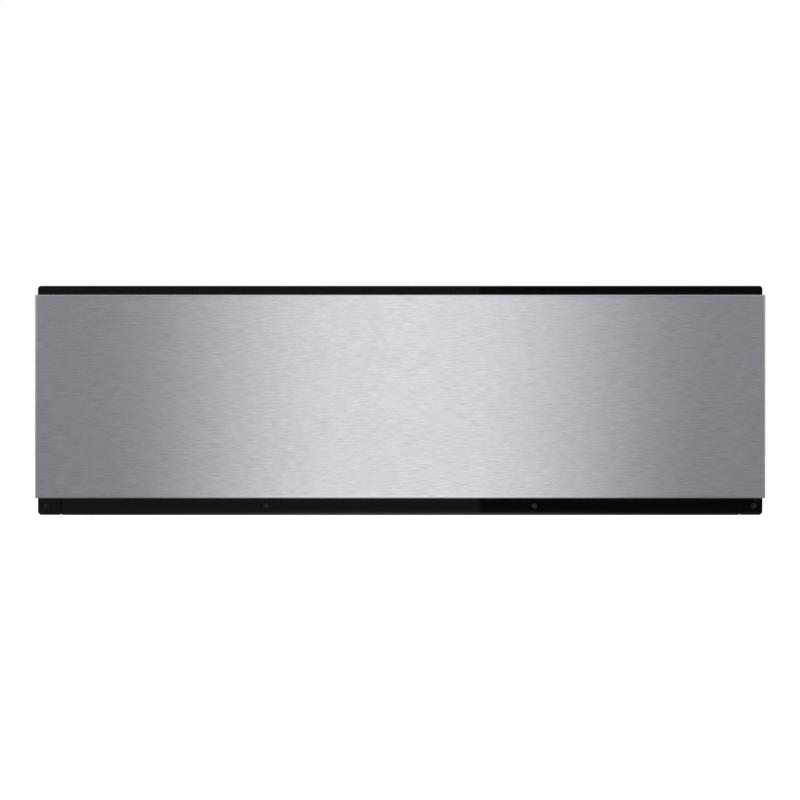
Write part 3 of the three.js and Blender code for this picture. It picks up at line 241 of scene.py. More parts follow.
def grey_strength(tree, place, off):
    behind = add_node(tree, "ShaderNodeMapRange",
                      {"interpolation_type": "SMOOTHSTEP", "From Min": LIGHTER_FROM_Y[0],
                       "From Max": LIGHTER_FROM_Y[1]}, {"Value": place.outputs["Y"]})
    beside = add_node(tree, "ShaderNodeMapRange",
                      {"interpolation_type": "SMOOTHSTEP", "From Min": LIGHTER_FROM_X[0],
                       "From Max": LIGHTER_FROM_X[1]}, {"Value": off})
    near = add_node(tree, "ShaderNodeMapRange",
                    {"interpolation_type": "SMOOTHSTEP", "From Min": SIDES_NEAR_Y[0],
                     "From Max": SIDES_NEAR_Y[1]}, {"Value": place.outputs["Y"]})
    sides = add_node(tree, "ShaderNodeMath", {"operation": "MULTIPLY"},
                     {0: beside, 1: near})
    far = add_node(tree, "ShaderNodeMath", {"operation": "MAXIMUM"},
                   {0: behind, 1: sides})
    return add_node(tree, "ShaderNodeMapRange", {"To Min": 1.0, "To Max": FAR_LIGHT / REFLECTED_GREY[1]},
                    {"Value": far})


def outside_shade(tree, place, off):
    from_middle = add_node(tree, "ShaderNodeMath", {"operation": "ABSOLUTE"}, {0: place.outputs["Y"]})
    clear_y = add_node(tree, "ShaderNodeMapRange",
                       {"From Min": cad_high.y, "From Max": cad_high.y + SHADE_WIDTH},
                       {"Value": from_middle})
    clear_x = add_node(tree, "ShaderNodeMapRange",
                       {"From Min": cad_high.x, "From Max": cad_high.x + SHADE_WIDTH},
                       {"Value": off})
    return add_node(tree, "ShaderNodeMath", {"operation": "MAXIMUM"},
                    {0: clear_x, 1: clear_y})


def mirrored_light(tree, shaded):
    """Grey with the strip of light along Y, and dark under the drawer if shaded."""
    place = add_node(tree, "ShaderNodeSeparateXYZ",
                     links={"Vector": add_node(tree, "ShaderNodeNewGeometry").outputs["Position"]})
    off = add_node(tree, "ShaderNodeMath", {"operation": "SUBTRACT", 1: STRIP_X}, {0: place.outputs["X"]})
    off = add_node(tree, "ShaderNodeMath", {"operation": "ABSOLUTE"}, {0: off})
    around = grey_strength(tree, place, off)
    if shaded:
        around = add_node(tree, "ShaderNodeMath", {"operation": "MULTIPLY"},
                          {0: around, 1: outside_shade(tree, place, off)})
    grey = add_node(tree, "ShaderNodeEmission", {"Color": REFLECTED_GREY}, {"Strength": around})
    strip = add_node(tree, "ShaderNodeEmission", {"Color": (1, 1, 1, 1)},
                     {"Strength": strip_strength(tree, place, off)})
    return add_node(tree, "ShaderNodeAddShader", links={0: grey, 1: strip})


print("the far table is", round(FAR_LIGHT / REFLECTED_GREY[1], 2), "times as bright as the near one")

# %% [markdown]
# ## Table and canopy
#
# The table is a board with matt white paint, wide enough to fill every picture. A photographer's table fades
# into the wall in a curve. Here a flat card does it, because the camera sees table and room equally white. A
# little glow of its own, for the camera alone, lifts the paint to the white of the room without more light on
# the drawer. The canopy over the drawer exists only in reflections.

# %% Table and canopy
table_white = bpy.data.materials.new("matt_white_table")
table_white.use_nodes = True
tree = table_white.node_tree
tree.nodes.clear()
path = add_node(tree, "ShaderNodeLightPath")
seen = add_node(tree, "ShaderNodeMath", {"operation": "MAXIMUM"},
                {0: path.outputs["Is Camera Ray"], 1: path.outputs["Is Transmission Ray"]})
# Matt wall paint: an even white without any shine.
paint = add_node(tree, "ShaderNodeBsdfDiffuse", {"Color": linear("#EDEDED")})
TABLE_GLOW = 0.5
glow = add_node(tree, "ShaderNodeMath", {"operation": "MULTIPLY", 1: TABLE_GLOW}, {0: seen})
shine = add_node(tree, "ShaderNodeEmission", {"Color": (1, 1, 1, 1)}, {"Strength": glow})
both = add_node(tree, "ShaderNodeAddShader", links={0: paint, 1: shine})
either = add_node(tree, "ShaderNodeMixShader", links={0: path.outputs["Is Glossy Ray"], 1: both,
                                                      2: mirrored_light(tree, True)})
add_node(tree, "ShaderNodeOutputMaterial", links={"Surface": either})


def stage_card(name, low, high, finish, mirrored_only=True):
    """A card between two corners: flat when they are equally high, upright when they are equally deep."""
    mesh = bpy.data.meshes.new(name)
    corners = [low, (high[0], low[1], low[2]), high, (low[0], high[1], high[2])]
    mesh.from_pydata(corners, [], [(0, 1, 2, 3)])
    card = bpy.data.objects.new(name, mesh)
    scene.collection.objects.link(card)
    card.data.materials.append(finish)
    if mirrored_only:
        card.visible_camera = card.visible_diffuse = card.visible_shadow = False
        card.visible_transmission = False


TABLE_Z = cad_low.z - 0.3 * MM
TABLE_HALF = 40.0
stage_card("table", (-TABLE_HALF, -TABLE_HALF, TABLE_Z), (TABLE_HALF, TABLE_HALF, TABLE_Z), table_white,
           mirrored_only=False)
canopy_cloth = bpy.data.materials.new("lit_canopy_cloth")
canopy_cloth.use_nodes = True
canopy_cloth.node_tree.nodes.clear()
add_node(canopy_cloth.node_tree, "ShaderNodeOutputMaterial",
         links={"Surface": mirrored_light(canopy_cloth.node_tree, False)})
CANOPY_Z = 1.3
stage_card("canopy", (-0.8, FRONT_Y - 4.0, CANOPY_Z), (0.8, 0.8, CANOPY_Z), canopy_cloth)
print("table at z =", round(TABLE_Z / MM, 2), "mm, canopy at", CANOPY_Z, "m")

# %% [markdown]
# ## Cards for the black frame
#
# The black frame is as smooth as a mirror, and what it mirrors lies in two narrow slits, one below and one
# above the panel. The photograph shows a step in its shine, right of the middle, as where two cards meet. It
# could be painted into the enamel, but then it would stay there in every view. So two pairs of thin cards
# stand in the slits, a grey one on the left and a black one on the right, and only reflections see them.

# %% Thin cards
def card_cloth(name, level):
    cloth = bpy.data.materials.new(name)
    cloth.use_nodes = True
    cloth.node_tree.nodes.clear()
    light = add_node(cloth.node_tree, "ShaderNodeEmission", {"Color": (1, 1, 1, 1), "Strength": level})
    add_node(cloth.node_tree, "ShaderNodeOutputMaterial", links={"Surface": light})
    return cloth


SIDES = ((-1, "left"), (1, "right"))
CARD_Y = FRONT_Y - 450 * MM
STEP_X = 83 * MM
CARD_STEP_X = STEP_X * (1 + (FRONT_Y - CARD_Y) / camera_distance)
CARD_END = 700 * MM
LOW_CARD = (TABLE_Z, -3.0 * MM)
HIGH_CARD = (212 * MM, 226 * MM)
card_cloths = card_cloth("grey_card", 0.17), card_cloth("black_card", 0.05)
for card_name, (low, high) in (("low", LOW_CARD), ("high", HIGH_CARD)):
    for (side, word), cloth in zip(SIDES, card_cloths):
        ends = sorted((CARD_STEP_X, side * CARD_END))
        stage_card(f"{card_name}_card_{word}", (ends[0], CARD_Y, low), (ends[1], CARD_Y, high), cloth)
print("cards meet at x =", round(CARD_STEP_X / MM, 1), "mm")

# %% [markdown]
# ## Cards for the side bends
#
# Where the panel starts to bend, at its two ends, the photograph shows one thin bright line. A bright card
# beside the drawer and well in front of it makes it: only the first few degrees of the bend mirror it. A lit
# strip along the whole table would brighten the flat steel as well, so the cards are short.

# %% Side cards
SIDE_CARD_X = (465 * MM, 600 * MM)
SIDE_CARD_Y = (FRONT_Y - 0.60, FRONT_Y - 0.25)
SIDE_CARD_Z = TABLE_Z + 0.1 * MM
bright_cloth = card_cloth("bright_card", 5.0)
for side, word in SIDES:
    ends = sorted(side * x for x in SIDE_CARD_X)
    stage_card(f"side_card_{word}", (ends[0], SIDE_CARD_Y[0], SIDE_CARD_Z),
               (ends[1], SIDE_CARD_Y[1], SIDE_CARD_Z), bright_cloth)
print("side cards:", len(SIDES))

# %% [markdown]
# ## Lamps
#
# The steel is lit by what it mirrors, so the lamps only have to light the matt things: the table, the wool,
# the plastics. One hard lamp would throw a hard shadow that the photograph doesn't have. A large soft box
# hangs above and behind the drawer, out of the front's reflections, and gives the table its shadow and the
# sheet its shape. A smaller one fills from the left.

# %% Lamps
def soft_lamp(name, place, target, width, height, watts):
    data = bpy.data.lights.new(name, "AREA")
    data.shape = "RECTANGLE"
    data.size, data.size_y = width, height
    data.energy = watts
    lamp = bpy.data.objects.new(name, data)
    lamp.location = place
    lamp.rotation_euler = (Vector(target) - Vector(place)).to_track_quat("-Z", "Y").to_euler()
    scene.collection.objects.link(lamp)
    lamp.visible_camera = False


LIT_MIDDLE = (0, 0, 0.1)
soft_lamp("overhead_box", (0.3, 1.0, 2.5), LIT_MIDDLE, 2.4, 1.8, 20)
soft_lamp("fill_box", (-2.2, -1.6, 1.9), LIT_MIDDLE, 1.2, 1.2, 12)

# %% [markdown]
# ## From a form to a piece
#
# A piece is a mesh that rides on one of the CAD bodies and carries a finish. Steel is brushed before it is
# folded, so its grain runs along the sheet and round the bends. A texture in the object's own space would run
# straight through a fold, so each face gets a flat map in metres whose first direction is the grain's.
#
# Smooth shading bends a flat sheet's light near its edges. To keep the flats flat and the small bevels round,
# each corner's normal is the mean of the faces round it that bend by less than the crease, weighed by their
# area squared. A Weighted Normal modifier works much like it, but knows only the area itself.

# %% Piece tools
AXES = {"x": Vector((1, 0, 0)), "y": Vector((0, 1, 0)), "z": Vector((0, 0, 1))}


def lay_grain(mesh, along, across):
    chart = mesh.uv_layers.new(name="grain")
    for face in mesh.polygons:
        u = AXES[across] if abs(face.normal.dot(AXES[along])) > 0.8 else AXES[along]
        v = face.normal.cross(u).normalized()
        for corner in face.loop_indices:
            place = mesh.vertices[mesh.loops[corner].vertex_index].co
            chart.data[corner].uv = (place.dot(u), place.dot(v))


def weigh_normals(mesh, crease):
    around = [[] for _ in mesh.vertices]
    for face in mesh.polygons:
        for index in face.vertices:
            around[index].append((face.normal.copy(), face.area))
    limit = math.cos(math.radians(crease))
    corners = []
    for face in mesh.polygons:
        for index in face.vertices:
            total = Vector()
            for normal, area in around[index]:
                if normal.dot(face.normal) > limit:
                    total += normal * area ** 2
            corners.append(total.normalized() if total.length > 0 else face.normal)
    mesh.polygons.foreach_set("use_smooth", [True] * len(mesh.polygons))
    mesh.normals_split_custom_set(corners)


def finish_piece(name, form, finish, body, stands_for=None, grain=("x", "y"), crease=50):
    mesh = bpy.data.meshes.new(name)
    form.to_mesh(mesh)
    form.free()
    weigh_normals(mesh, crease)
    lay_grain(mesh, *grain)
    mesh.materials.append(finish)
    piece = bpy.data.objects.new(name, mesh)
    scene.collection.objects.link(piece)
    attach(piece, body)
    if stands_for:
        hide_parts(stands_for)
    return piece


# %% [markdown]
# ## Brushed stainless steel
#
# The front is stainless steel sheet, ground along its length with a fine belt. The belt leaves scratches that
# are a tenth of a millimetre wide and a few centimetres long. They are too fine to show at one millimetre to
# a pixel, so they are drawn about ten times as wide. Two sets of them lie over each other, and faint wide
# clouds where the belt pressed harder.
#
# Where the belt left the steel smoother it is also lighter, so one pattern drives both, and a small function
# does that for this and the later finishes. What the scratches do to light is as important: it spreads across
# them far more than along them, so a lamp in front becomes a tall band. Real grooves would need millions of
# faces. The shader's anisotropy does it, turned a quarter so that it spreads across the grain.

# %% Brushed steel
SCRATCH_SETS = (1.0, 2.1)
CLOUD_SIZE = (180 * MM, 26 * MM)
CLOUD_SHARE = 0.12
NOISE_SUM = {"From Min": 0.63, "From Max": 1.49}


def vary_surface(tree, shader, pattern, span, hex_colour, contrast, dull, smooth):
    """Lets a pattern's high values make the surface lighter and smoother, and its low ones darker and dull."""
    light = add_node(tree, "ShaderNodeMapRange", {**span, "To Min": 1 - contrast, "To Max": 1 + contrast},
                     {"Value": pattern})
    colour = add_node(tree, "ShaderNodeMix",
                      {"data_type": "RGBA", "blend_type": "MULTIPLY", 0: 1.0, 6: linear(hex_colour)},
                      {7: light})
    tree.links.new(colour.outputs[2], shader.inputs["Base Color"])
    rough = add_node(tree, "ShaderNodeMapRange", {**span, "To Min": dull, "To Max": smooth},
                     {"Value": pattern})
    tree.links.new(rough.outputs[0], shader.inputs["Roughness"])


def brushed_steel(name, hex_colour, roughness, anisotropy, scratch_mm, length_mm, contrast):
    finish, tree, shader = new_finish(name, hex_colour, roughness, 1.0)
    chart = add_node(tree, "ShaderNodeUVMap", {"uv_map": "grain"})
    tints = []
    for share in SCRATCH_SETS:
        scratches = add_node(tree, "ShaderNodeMapping",
                             {"Scale": (share / (length_mm * MM), share / (scratch_mm * MM), 1.0),
                              "Location": (share * 7, share * 3, 0)},
                             {"Vector": chart.outputs["UV"]})
        tints.append(add_node(tree, "ShaderNodeTexNoise", {"Scale": 1.0, "Detail": 1.5, "Roughness": 0.6},
                              {"Vector": scratches}))
    cloudy = add_node(tree, "ShaderNodeMapping", {"Scale": (1 / CLOUD_SIZE[0], 1 / CLOUD_SIZE[1], 1.0)},
                      {"Vector": chart.outputs["UV"]})
    clouds = add_node(tree, "ShaderNodeTexNoise", {"Scale": 1.0, "Detail": 2.0},
                      {"Vector": cloudy})
    both = add_node(tree, "ShaderNodeMath", {"operation": "ADD"},
                    {0: tints[0].outputs["Fac"], 1: tints[1].outputs["Fac"]})
    all_three = add_node(tree, "ShaderNodeMath", {"operation": "MULTIPLY_ADD", 1: CLOUD_SHARE},
                         {0: clouds.outputs["Fac"], 2: both})
    vary_surface(tree, shader, all_three, NOISE_SUM, hex_colour, contrast, roughness * 1.04,
                 roughness * 0.96)
    bump = add_node(tree, "ShaderNodeBump", {"Strength": 0.12, "Distance": 0.02 * MM},
                    {"Height": both})
    tree.links.new(bump.outputs[0], shader.inputs["Normal"])
    shader.inputs["Anisotropic"].default_value = anisotropy
    shader.inputs["Anisotropic Rotation"].default_value = 0.25
    way = add_node(tree, "ShaderNodeTangent", {"direction_type": "UV_MAP", "uv_map": "grain"})
    tree.links.new(way.outputs[0], shader.inputs["Tangent"])
    return finish


# Belt-ground stainless steel: level streaks, and every light drawn out to a tall soft band.
front_steel = brushed_steel("brushed_stainless_front", "#D6D7DB", 0.35, 1.0, 1.25, 18, 0.18)
# The same steel, satin polished: fainter and finer streaks, and softer, rounder lights.
tub_steel = brushed_steel("satin_stainless_tub", "#D4D5D6", 0.48, 0.4, 0.9, 18, 0.07)
print("made", front_steel.name, "and", tub_steel.name)

# %% [markdown]
# ## The front panel
#
# The front is one sheet, folded back 20 mm on all four sides. A press brake can't fold a sharp corner, so the
# bends have an outside radius of 3 mm, and the returns meet at the corners in a fine mitred seam. A solidify
# modifier could give the sheet its thickness. Here it is made as two shells instead, the outside and the
# inside of the sheet, so that each has its own bend radius, as in real sheet. They are joined at the rim.
#
# The panel ends a few thousandths of a millimetre inside the CAD solid, so that rounding in the last digit
# never puts it outside.

# %% Front panel
def block_form(low, high):
    form = bmesh.new()
    bmesh.ops.create_cube(form, size=1.0)
    for vertex in form.verts:
        vertex.co = Vector(low[i] if vertex.co[i] < 0 else high[i] for i in range(3))
    return form


def merged(*forms):
    whole = forms[0]
    for form in forms[1:]:
        spare = bpy.data.meshes.new("spare")
        form.to_mesh(spare)
        form.free()
        whole.from_mesh(spare)
        bpy.data.meshes.remove(spare)
    return whole


def folded_shell(low, high, bend, corner):
    form = block_form(low, high)
    back = [f for f in form.faces if f.normal.y > 0.9]
    front_edges = [e for f in form.faces if f.normal.y < -0.9 for e in f.edges]
    bmesh.ops.delete(form, geom=back, context="FACES_ONLY")
    bmesh.ops.bevel(form, geom=front_edges, offset=bend, offset_type="OFFSET", segments=8, profile=0.5,
                    affect="EDGES")
    depth = [e for e in form.edges if len(e.link_faces) == 2 and e.calc_face_angle(0) > math.radians(60)
             and abs((e.verts[1].co - e.verts[0].co).normalized().y) > 0.99]
    bmesh.ops.bevel(form, geom=depth, offset=corner, offset_type="OFFSET", segments=3, profile=0.5,
                    affect="EDGES")
    return form


SKIN_T = 1.2 * MM
BEND_R = 3.0 * MM
panel_low, panel_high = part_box("front_panel")
hair = Vector((0.003, 0, 0)) * MM
panel_outside = folded_shell(panel_low + hair, panel_high - hair, BEND_R, 0.5 * MM)
panel_inside = folded_shell(panel_low + Vector((SKIN_T, SKIN_T, SKIN_T)),
                            panel_high - Vector((SKIN_T, 0, SKIN_T)), BEND_R - SKIN_T, 0.2 * MM)
bmesh.ops.reverse_faces(panel_inside, faces=panel_inside.faces)
panel = merged(panel_outside, panel_inside)
bmesh.ops.bridge_loops(panel, edges=[e for e in panel.edges if len(e.link_faces) == 1])
bmesh.ops.recalc_face_normals(panel, faces=panel.faces)
front_skin = finish_piece("front_skin", panel, front_steel, "drawer", "front_panel")
print("front skin faces:", len(front_skin.data.polygons))

# %% [markdown]
# ## Black enamel
#
# The frame round the front is steel with a baked enamel, as on a bicycle. The paint flows in the oven before
# it sets, and its skin is almost as smooth as a mirror. A plain glossy shader would look like cut glass, so
# the flow's long shallow waves, 7 mm apart, are left in it as a bump.

# %% Black enamel
FLOW_MM = 7


def baked_enamel(name, hex_colour, roughness):
    finish, tree, shader = new_finish(name, hex_colour, roughness)
    place = add_node(tree, "ShaderNodeTexCoord")
    flow = add_node(tree, "ShaderNodeTexNoise", {"Scale": 1 / (FLOW_MM * MM), "Detail": 1.0},
                    {"Vector": place.outputs["Object"]})
    bump = add_node(tree, "ShaderNodeBump", {"Strength": 0.05, "Distance": 0.05 * MM},
                    {"Height": flow.outputs["Fac"]})
    tree.links.new(bump.outputs[0], shader.inputs["Normal"])
    return finish


# Black baked enamel: deep black, with clear reflections that swim a little.
trim_enamel = baked_enamel("black_baked_enamel", "#060607", 0.03)
print("made", trim_enamel.name)

# %% [markdown]
# ## Galvanised sheet
#
# Hot-dip galvanised sheet is steel that has been drawn through molten zinc. The zinc freezes in flowers about
# a centimetre wide, each a little lighter or darker and smoother or rougher than its neighbours. A plain
# noise has no borders and would look like dirt. The cells of a Voronoi texture have them, and a second noise
# bends them until they look grown.

# %% Galvanised sheet
BENT_MM = 9
BENT_BY = (4 * MM, 4 * MM, 4 * MM)


def spangled_zinc(name, hex_colour, flower_mm, contrast):
    finish, tree, shader = new_finish(name, hex_colour, 0.42, 1.0)
    place = add_node(tree, "ShaderNodeTexCoord")
    warp = add_node(tree, "ShaderNodeTexNoise", {"Scale": 1 / (BENT_MM * MM), "Detail": 2.0},
                    {"Vector": place.outputs["Object"]})
    bent = add_node(tree, "ShaderNodeVectorMath", {"operation": "MULTIPLY_ADD", 1: BENT_BY},
                    {0: warp.outputs["Color"], 2: place.outputs["Object"]})
    flowers = add_node(tree, "ShaderNodeTexVoronoi", {"Scale": 1 / (flower_mm * MM)},
                       {"Vector": bent})
    grey = add_node(tree, "ShaderNodeRGBToBW", links={"Color": flowers.outputs["Color"]})
    vary_surface(tree, shader, grey, {}, hex_colour, contrast, 0.5, 0.34)
    return finish


# Hot-dip zinc: a soft blue-grey shine, broken into flowers.
galvanised = spangled_zinc("galvanised_sheet", "#C6C9CB", 9, 0.09)
print("made", galvanised.name)

# %% [markdown]
# ## Other metals
#
# The other surfaces look even from afar, but none is perfectly so. Scanned textures would show it, but they
# come at one fixed size. One function gives each surface its own fine unevenness instead, with a grain size
# in millimetres, in its colour, its gloss and its height.

# %% Fine unevenness and the metals
NOISE_SPAN = {"From Min": 0.3, "From Max": 0.7}


def uneven_finish(name, hex_colour, roughness, grain_mm, contrast, height_mm, metallic=0.0):
    finish, tree, shader = new_finish(name, hex_colour, roughness, metallic)
    place = add_node(tree, "ShaderNodeTexCoord")
    grain = add_node(tree, "ShaderNodeTexNoise", {"Scale": 1 / (grain_mm * MM), "Detail": 2.0},
                     {"Vector": place.outputs["Object"]})
    vary_surface(tree, shader, grain.outputs["Fac"], NOISE_SPAN, hex_colour, contrast,
                 roughness * (1 + contrast), roughness * (1 - contrast))
    bump = add_node(tree, "ShaderNodeBump", {"Strength": 0.5, "Distance": height_mm * MM},
                    {"Height": grain.outputs["Fac"]})
    tree.links.new(bump.outputs[0], shader.inputs["Normal"])
    return finish


# Bright zinc plate on rolled steel: thin, bluish and nearly even, clear enough to read a channel's bends.
zinc_plate = uneven_finish("bright_zinc_plate", "#C9CED4", 0.3, 5.0, 0.03, 0.0005, 1.0)
# Steel screws blackened in hot salts: a dark grey with an oily sheen, lighter than the enamel round them.
screw_black = uneven_finish("blackened_screw_steel", "#232325", 0.36, 0.8, 0.1, 0.01)
# The heater's steel tube, browned by its own heat in patches about a centimetre long.
element_steel = uneven_finish("heat_browned_element_tube", "#6B645A", 0.38, 9.0, 0.25, 0.02, 1.0)
# Drawn brass, a little dulled by air: a soft yellow shine.
brass = uneven_finish("drawn_brass", "#CDB26A", 0.3, 2.0, 0.06, 0.01, 1.0)
print("metals:", zinc_plate.name, screw_black.name, element_steel.name, brass.name)

# %% [markdown]
# ## Glass, plastics, paints and wool
#
# None of these is a metal, and all of them bend light by about 1.5, which is the shader's default. What tells
# them apart is their roughness and the size of their unevenness, and both come from how they were made: glass
# is rolled and fired, gloss plastic copies a polished tool, and pebbled plastic copies a tool whose skin was
# eaten by sparks. Its pebbles are a tenth of a millimetre wide, and are drawn six times as wide to show.

# %% Glass, plastics, paints and wool
# Ceramic glass, rolled flat and fired: black and clear, with only the faint smears of wiping.
dark_glass = uneven_finish("black_ceramic_glass", "#0A0A0C", 0.045, 40.0, 0.3, 0.0)
# Glass enamel printed on the plate and fired with it: a dull grey line.
grey_frit = uneven_finish("grey_ceramic_frit", "#4A4A4D", 0.4, 1.0, 0.05, 0.0)
# ABS moulded against a polished tool: a black shine that is softer than the glass's.
strip_gloss = uneven_finish("black_gloss_abs", "#0D0D10", 0.12, 6.0, 0.03, 0.01)
# Nylon moulded against a spark-eroded tool: matt, with a fine pebbled skin.
grey_nylon = uneven_finish("grey_pebbled_nylon", "#54585A", 0.55, 0.6, 0.04, 0.03)
black_nylon = uneven_finish("black_pebbled_nylon", "#17181B", 0.45, 0.6, 0.06, 0.03)
# Solder mask, a green lacquer over the board's copper, which shows through as lighter and darker patches.
board_green = uneven_finish("green_solder_mask", "#1F5A38", 0.35, 2.5, 0.2, 0.03)
# Acrylic moulded to a polish: a clear amber spot.
amber_lens = uneven_finish("amber_acrylic", "#FF8C14", 0.08, 2.0, 0.04, 0.0)
# Silicone that levels itself while it is wet: a soft black gleam in the joint.
silicone = uneven_finish("black_silicone_sealant", "#131315", 0.38, 5.0, 0.05, 0.05)
# Screen-printed ink: a flat white without shine.
white_print = uneven_finish("white_dial_ink", "#E9E9E4", 0.5, 0.7, 0.03, 0.0)
# Matt black on the tongues behind the frame's joints: painted shade, so matt and dark that each joint stays a
# dark line.
joint_shade_black = uneven_finish("matt_black_joint_shade", "#050506", 0.8, 1.0, 0.1, 0.02)
# Stone wool with a yellow binder: short fibres that show as tufts 1.5 mm wide.
mineral_wool = uneven_finish("yellow_stone_wool", "#C4B27E", 0.95, 1.5, 0.35, 0.8)
SLOT_FINISH = {"brushed_stainless": front_steel, "satin_stainless": tub_steel, "galvanised": galvanised,
               "zinc_plate": zinc_plate, "black_enamel": trim_enamel, "black_screw": screw_black,
               "mineral_wool": mineral_wool, "dark_glass": dark_glass, "black_gloss": strip_gloss,
               "grey_plastic": grey_nylon, "black_plastic": black_nylon, "board_green": board_green,
               "element_sheath": element_steel, "amber_lens": amber_lens}
print("finishes:", len(SLOT_FINISH))

# %% [markdown]
# ## Eased edges
#
# Most pieces already have the right outline in CAD, with knife-sharp edges. Real sheet metal has none, and it
# is the thin bright line along an edge that lets the eye read it. A bevel modifier could round them, but the
# CAD model's flat faces come as triangles, and their inner edges get in its way. So a piece is copied from
# its node, its flat faces are joined up again, and then every edge that turns by more than 25 degrees is
# rounded.

# %% Eased edges
SHARP_FROM = 25
slot_of = {part["node"]: part["material_slot"] for part in frame["record"]["subparts"]}
body_of = {node: frame["nodes"][node]["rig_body"] for node in frame["nodes"]}


def copied_form(node):
    form = bmesh.new()
    form.from_mesh(frame["nodes"][node].data)
    bmesh.ops.remove_doubles(form, verts=form.verts, dist=0.001 * MM)
    bmesh.ops.dissolve_limit(form, angle_limit=math.radians(1.0), use_dissolve_boundaries=False,
                             verts=form.verts, edges=form.edges, delimit=set())
    return form


def round_edges(form, width, segments=2):
    edges = [e for e in form.edges
             if len(e.link_faces) == 2 and e.calc_face_angle(0) > math.radians(SHARP_FROM)]
    bmesh.ops.bevel(form, geom=edges, offset=width, offset_type="OFFSET", segments=segments,
                    profile=0.5, affect="EDGES", clamp_overlap=True, loop_slide=True)


def eased_node(node, width=0.25 * MM, segments=2, grain=("x", "y"), finish=None):
    form = copied_form(node)
    round_edges(form, width, segments)
    finish_piece(f"{node}_eased", form, finish or SLOT_FINISH[slot_of[node]], body_of[node],
                 node, grain)


print("nodes to dress:", len(body_of))

# %% [markdown]
# ## The black frame
#
# Four flat bars frame the opening. The two low joints, near the ends, show as dark upright lines with a light
# notch at their foot. A dark line painted on would have no depth, so the low bar is really shorter, and a
# short tongue closes each joint from behind, down to just above the bar's lower edge. The tongue's matt black
# is painted shade that keeps the joint dark.

# %% Frame bars and their tongues
BAR_EDGE = 0.12 * MM
JOINT_GAP = 1.2 * MM
BAR_END_FROM = 0.34
TONGUE_HALF = 5 * MM
for node in ("top_trim", "left_trim", "right_trim"):
    eased_node(node, BAR_EDGE)
low_bar = copied_form("bottom_trim")
for vertex in low_bar.verts:
    if abs(vertex.co.x) > BAR_END_FROM:
        vertex.co.x -= math.copysign(JOINT_GAP, vertex.co.x)
round_edges(low_bar, BAR_EDGE)
finish_piece("bottom_trim_eased", low_bar, trim_enamel, "housing", "bottom_trim")
bar_low, bar_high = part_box("bottom_trim")
# each tongue's matt black is painted shade in its joint
for side, word in SIDES:
    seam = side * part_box("right_trim")[0].x
    tongue = block_form((seam - TONGUE_HALF, bar_low.y + 1.6 * MM, bar_low.z + 0.6 * MM),
                        (seam + TONGUE_HALF, bar_high.y - 0.6 * MM, bar_high.z - 0.4 * MM))
    round_edges(tongue, 0.2 * MM)
    finish_piece(f"trim_tongue_{word}", tongue, joint_shade_black, "housing")
print("bars: 4, tongues:", len(SIDES))

# %% [markdown]
# ## Turned forms
#
# Screws, knobs and nuts are turned on a lathe: an outline goes round an axis. The Screw modifier does that to
# a line of points. Here one function joins rings of points by faces, because the rings needn't be circles:
# the pressed fields, the knurled knob and the thread are made of rings as well.

# %% Turned forms
UP = (0, 0, 1)
CORNERS = ((1, 1), (-1, 1), (-1, -1), (1, -1))


def aimed(form, place, out=UP):
    turn = Vector(UP).rotation_difference(Vector(out)).to_matrix().to_4x4()
    bmesh.ops.transform(form, matrix=Matrix.Translation(place) @ turn, verts=form.verts)
    return form


def ringed_form(rings):
    """Joins rings of points by faces; a ring of one point closes that end, and so does a flat last ring."""
    form = bmesh.new()
    made = [[form.verts.new(point) for point in ring] for ring in rings]
    for one, two in zip(made, made[1:]):
        count = max(len(one), len(two))
        for k in range(count):
            corners = [one[k % len(one)], one[(k + 1) % len(one)],
                       two[(k + 1) % len(two)], two[k % len(two)]]
            unique = list(dict.fromkeys(corners))
            if len(unique) > 2:
                form.faces.new(unique)
    if len(made[-1]) > 2:
        form.faces.new(made[-1])
    bmesh.ops.recalc_face_normals(form, faces=form.faces)
    return form


def circle(radius, height, count):
    turns = [2 * math.pi * k / count for k in range(count)]
    return [(radius * math.cos(turn), radius * math.sin(turn), height) for turn in turns]


def turned_form(profile, segments):
    return ringed_form([[(0, 0, height)] if radius == 0 else circle(radius, height, segments)
                        for radius, height in profile])


print("the sides of a 24-sided circle lie", round(100 * (1 - math.cos(math.pi / 24)), 2), "% inside it")

# %% [markdown]
# ## Cutting one form out of another
#
# Punched holes and the recess in a screw's head are cut out, as on the real piece. A dark texture could stand
# for them, but it would look flat from the side. Blender's boolean cutter works on two objects, so both forms
# become objects for a moment. The cut is made at a thousand times the size, because forms of a few
# thousandths of a metre are near the smallest distances that the cutter tells apart.

# %% Cutting
def cut_away(form, tool):
    pair = []
    for one in (form, tool):
        bmesh.ops.scale(one, vec=(1 / MM, 1 / MM, 1 / MM), verts=one.verts)
        mesh = bpy.data.meshes.new("cutting")
        one.to_mesh(mesh)
        one.free()
        pair.append(bpy.data.objects.new("cutting", mesh))
        scene.collection.objects.link(pair[-1])
    cutter = pair[0].modifiers.new("cut", "BOOLEAN")
    cutter.operation, cutter.solver, cutter.object, cutter.use_self = "DIFFERENCE", "EXACT", pair[1], True
    seen_by_blender = pair[0].evaluated_get(bpy.context.evaluated_depsgraph_get())
    result = bmesh.new()
    result.from_mesh(seen_by_blender.data)
    bmesh.ops.scale(result, vec=(MM, MM, MM), verts=result.verts)
    for one in pair:
        mesh = one.data
        bpy.data.objects.remove(one)
        bpy.data.meshes.remove(mesh)
    return result


print("cuts are made at", round(1 / MM), "times the size")

# %% [markdown]
# ## Screws
#
# The small screws have a pan head with a cross recess, which a punch leaves with tapered walls, so the cutter
# is a cross whose foot is smaller than its top. Behind the head is a short neck, or a sheet-metal thread
# where the screw is long: rings whose radius climbs round a helix, with the last turns tapered to a point. A
# screw modifier makes threads too, but it doesn't taper them.

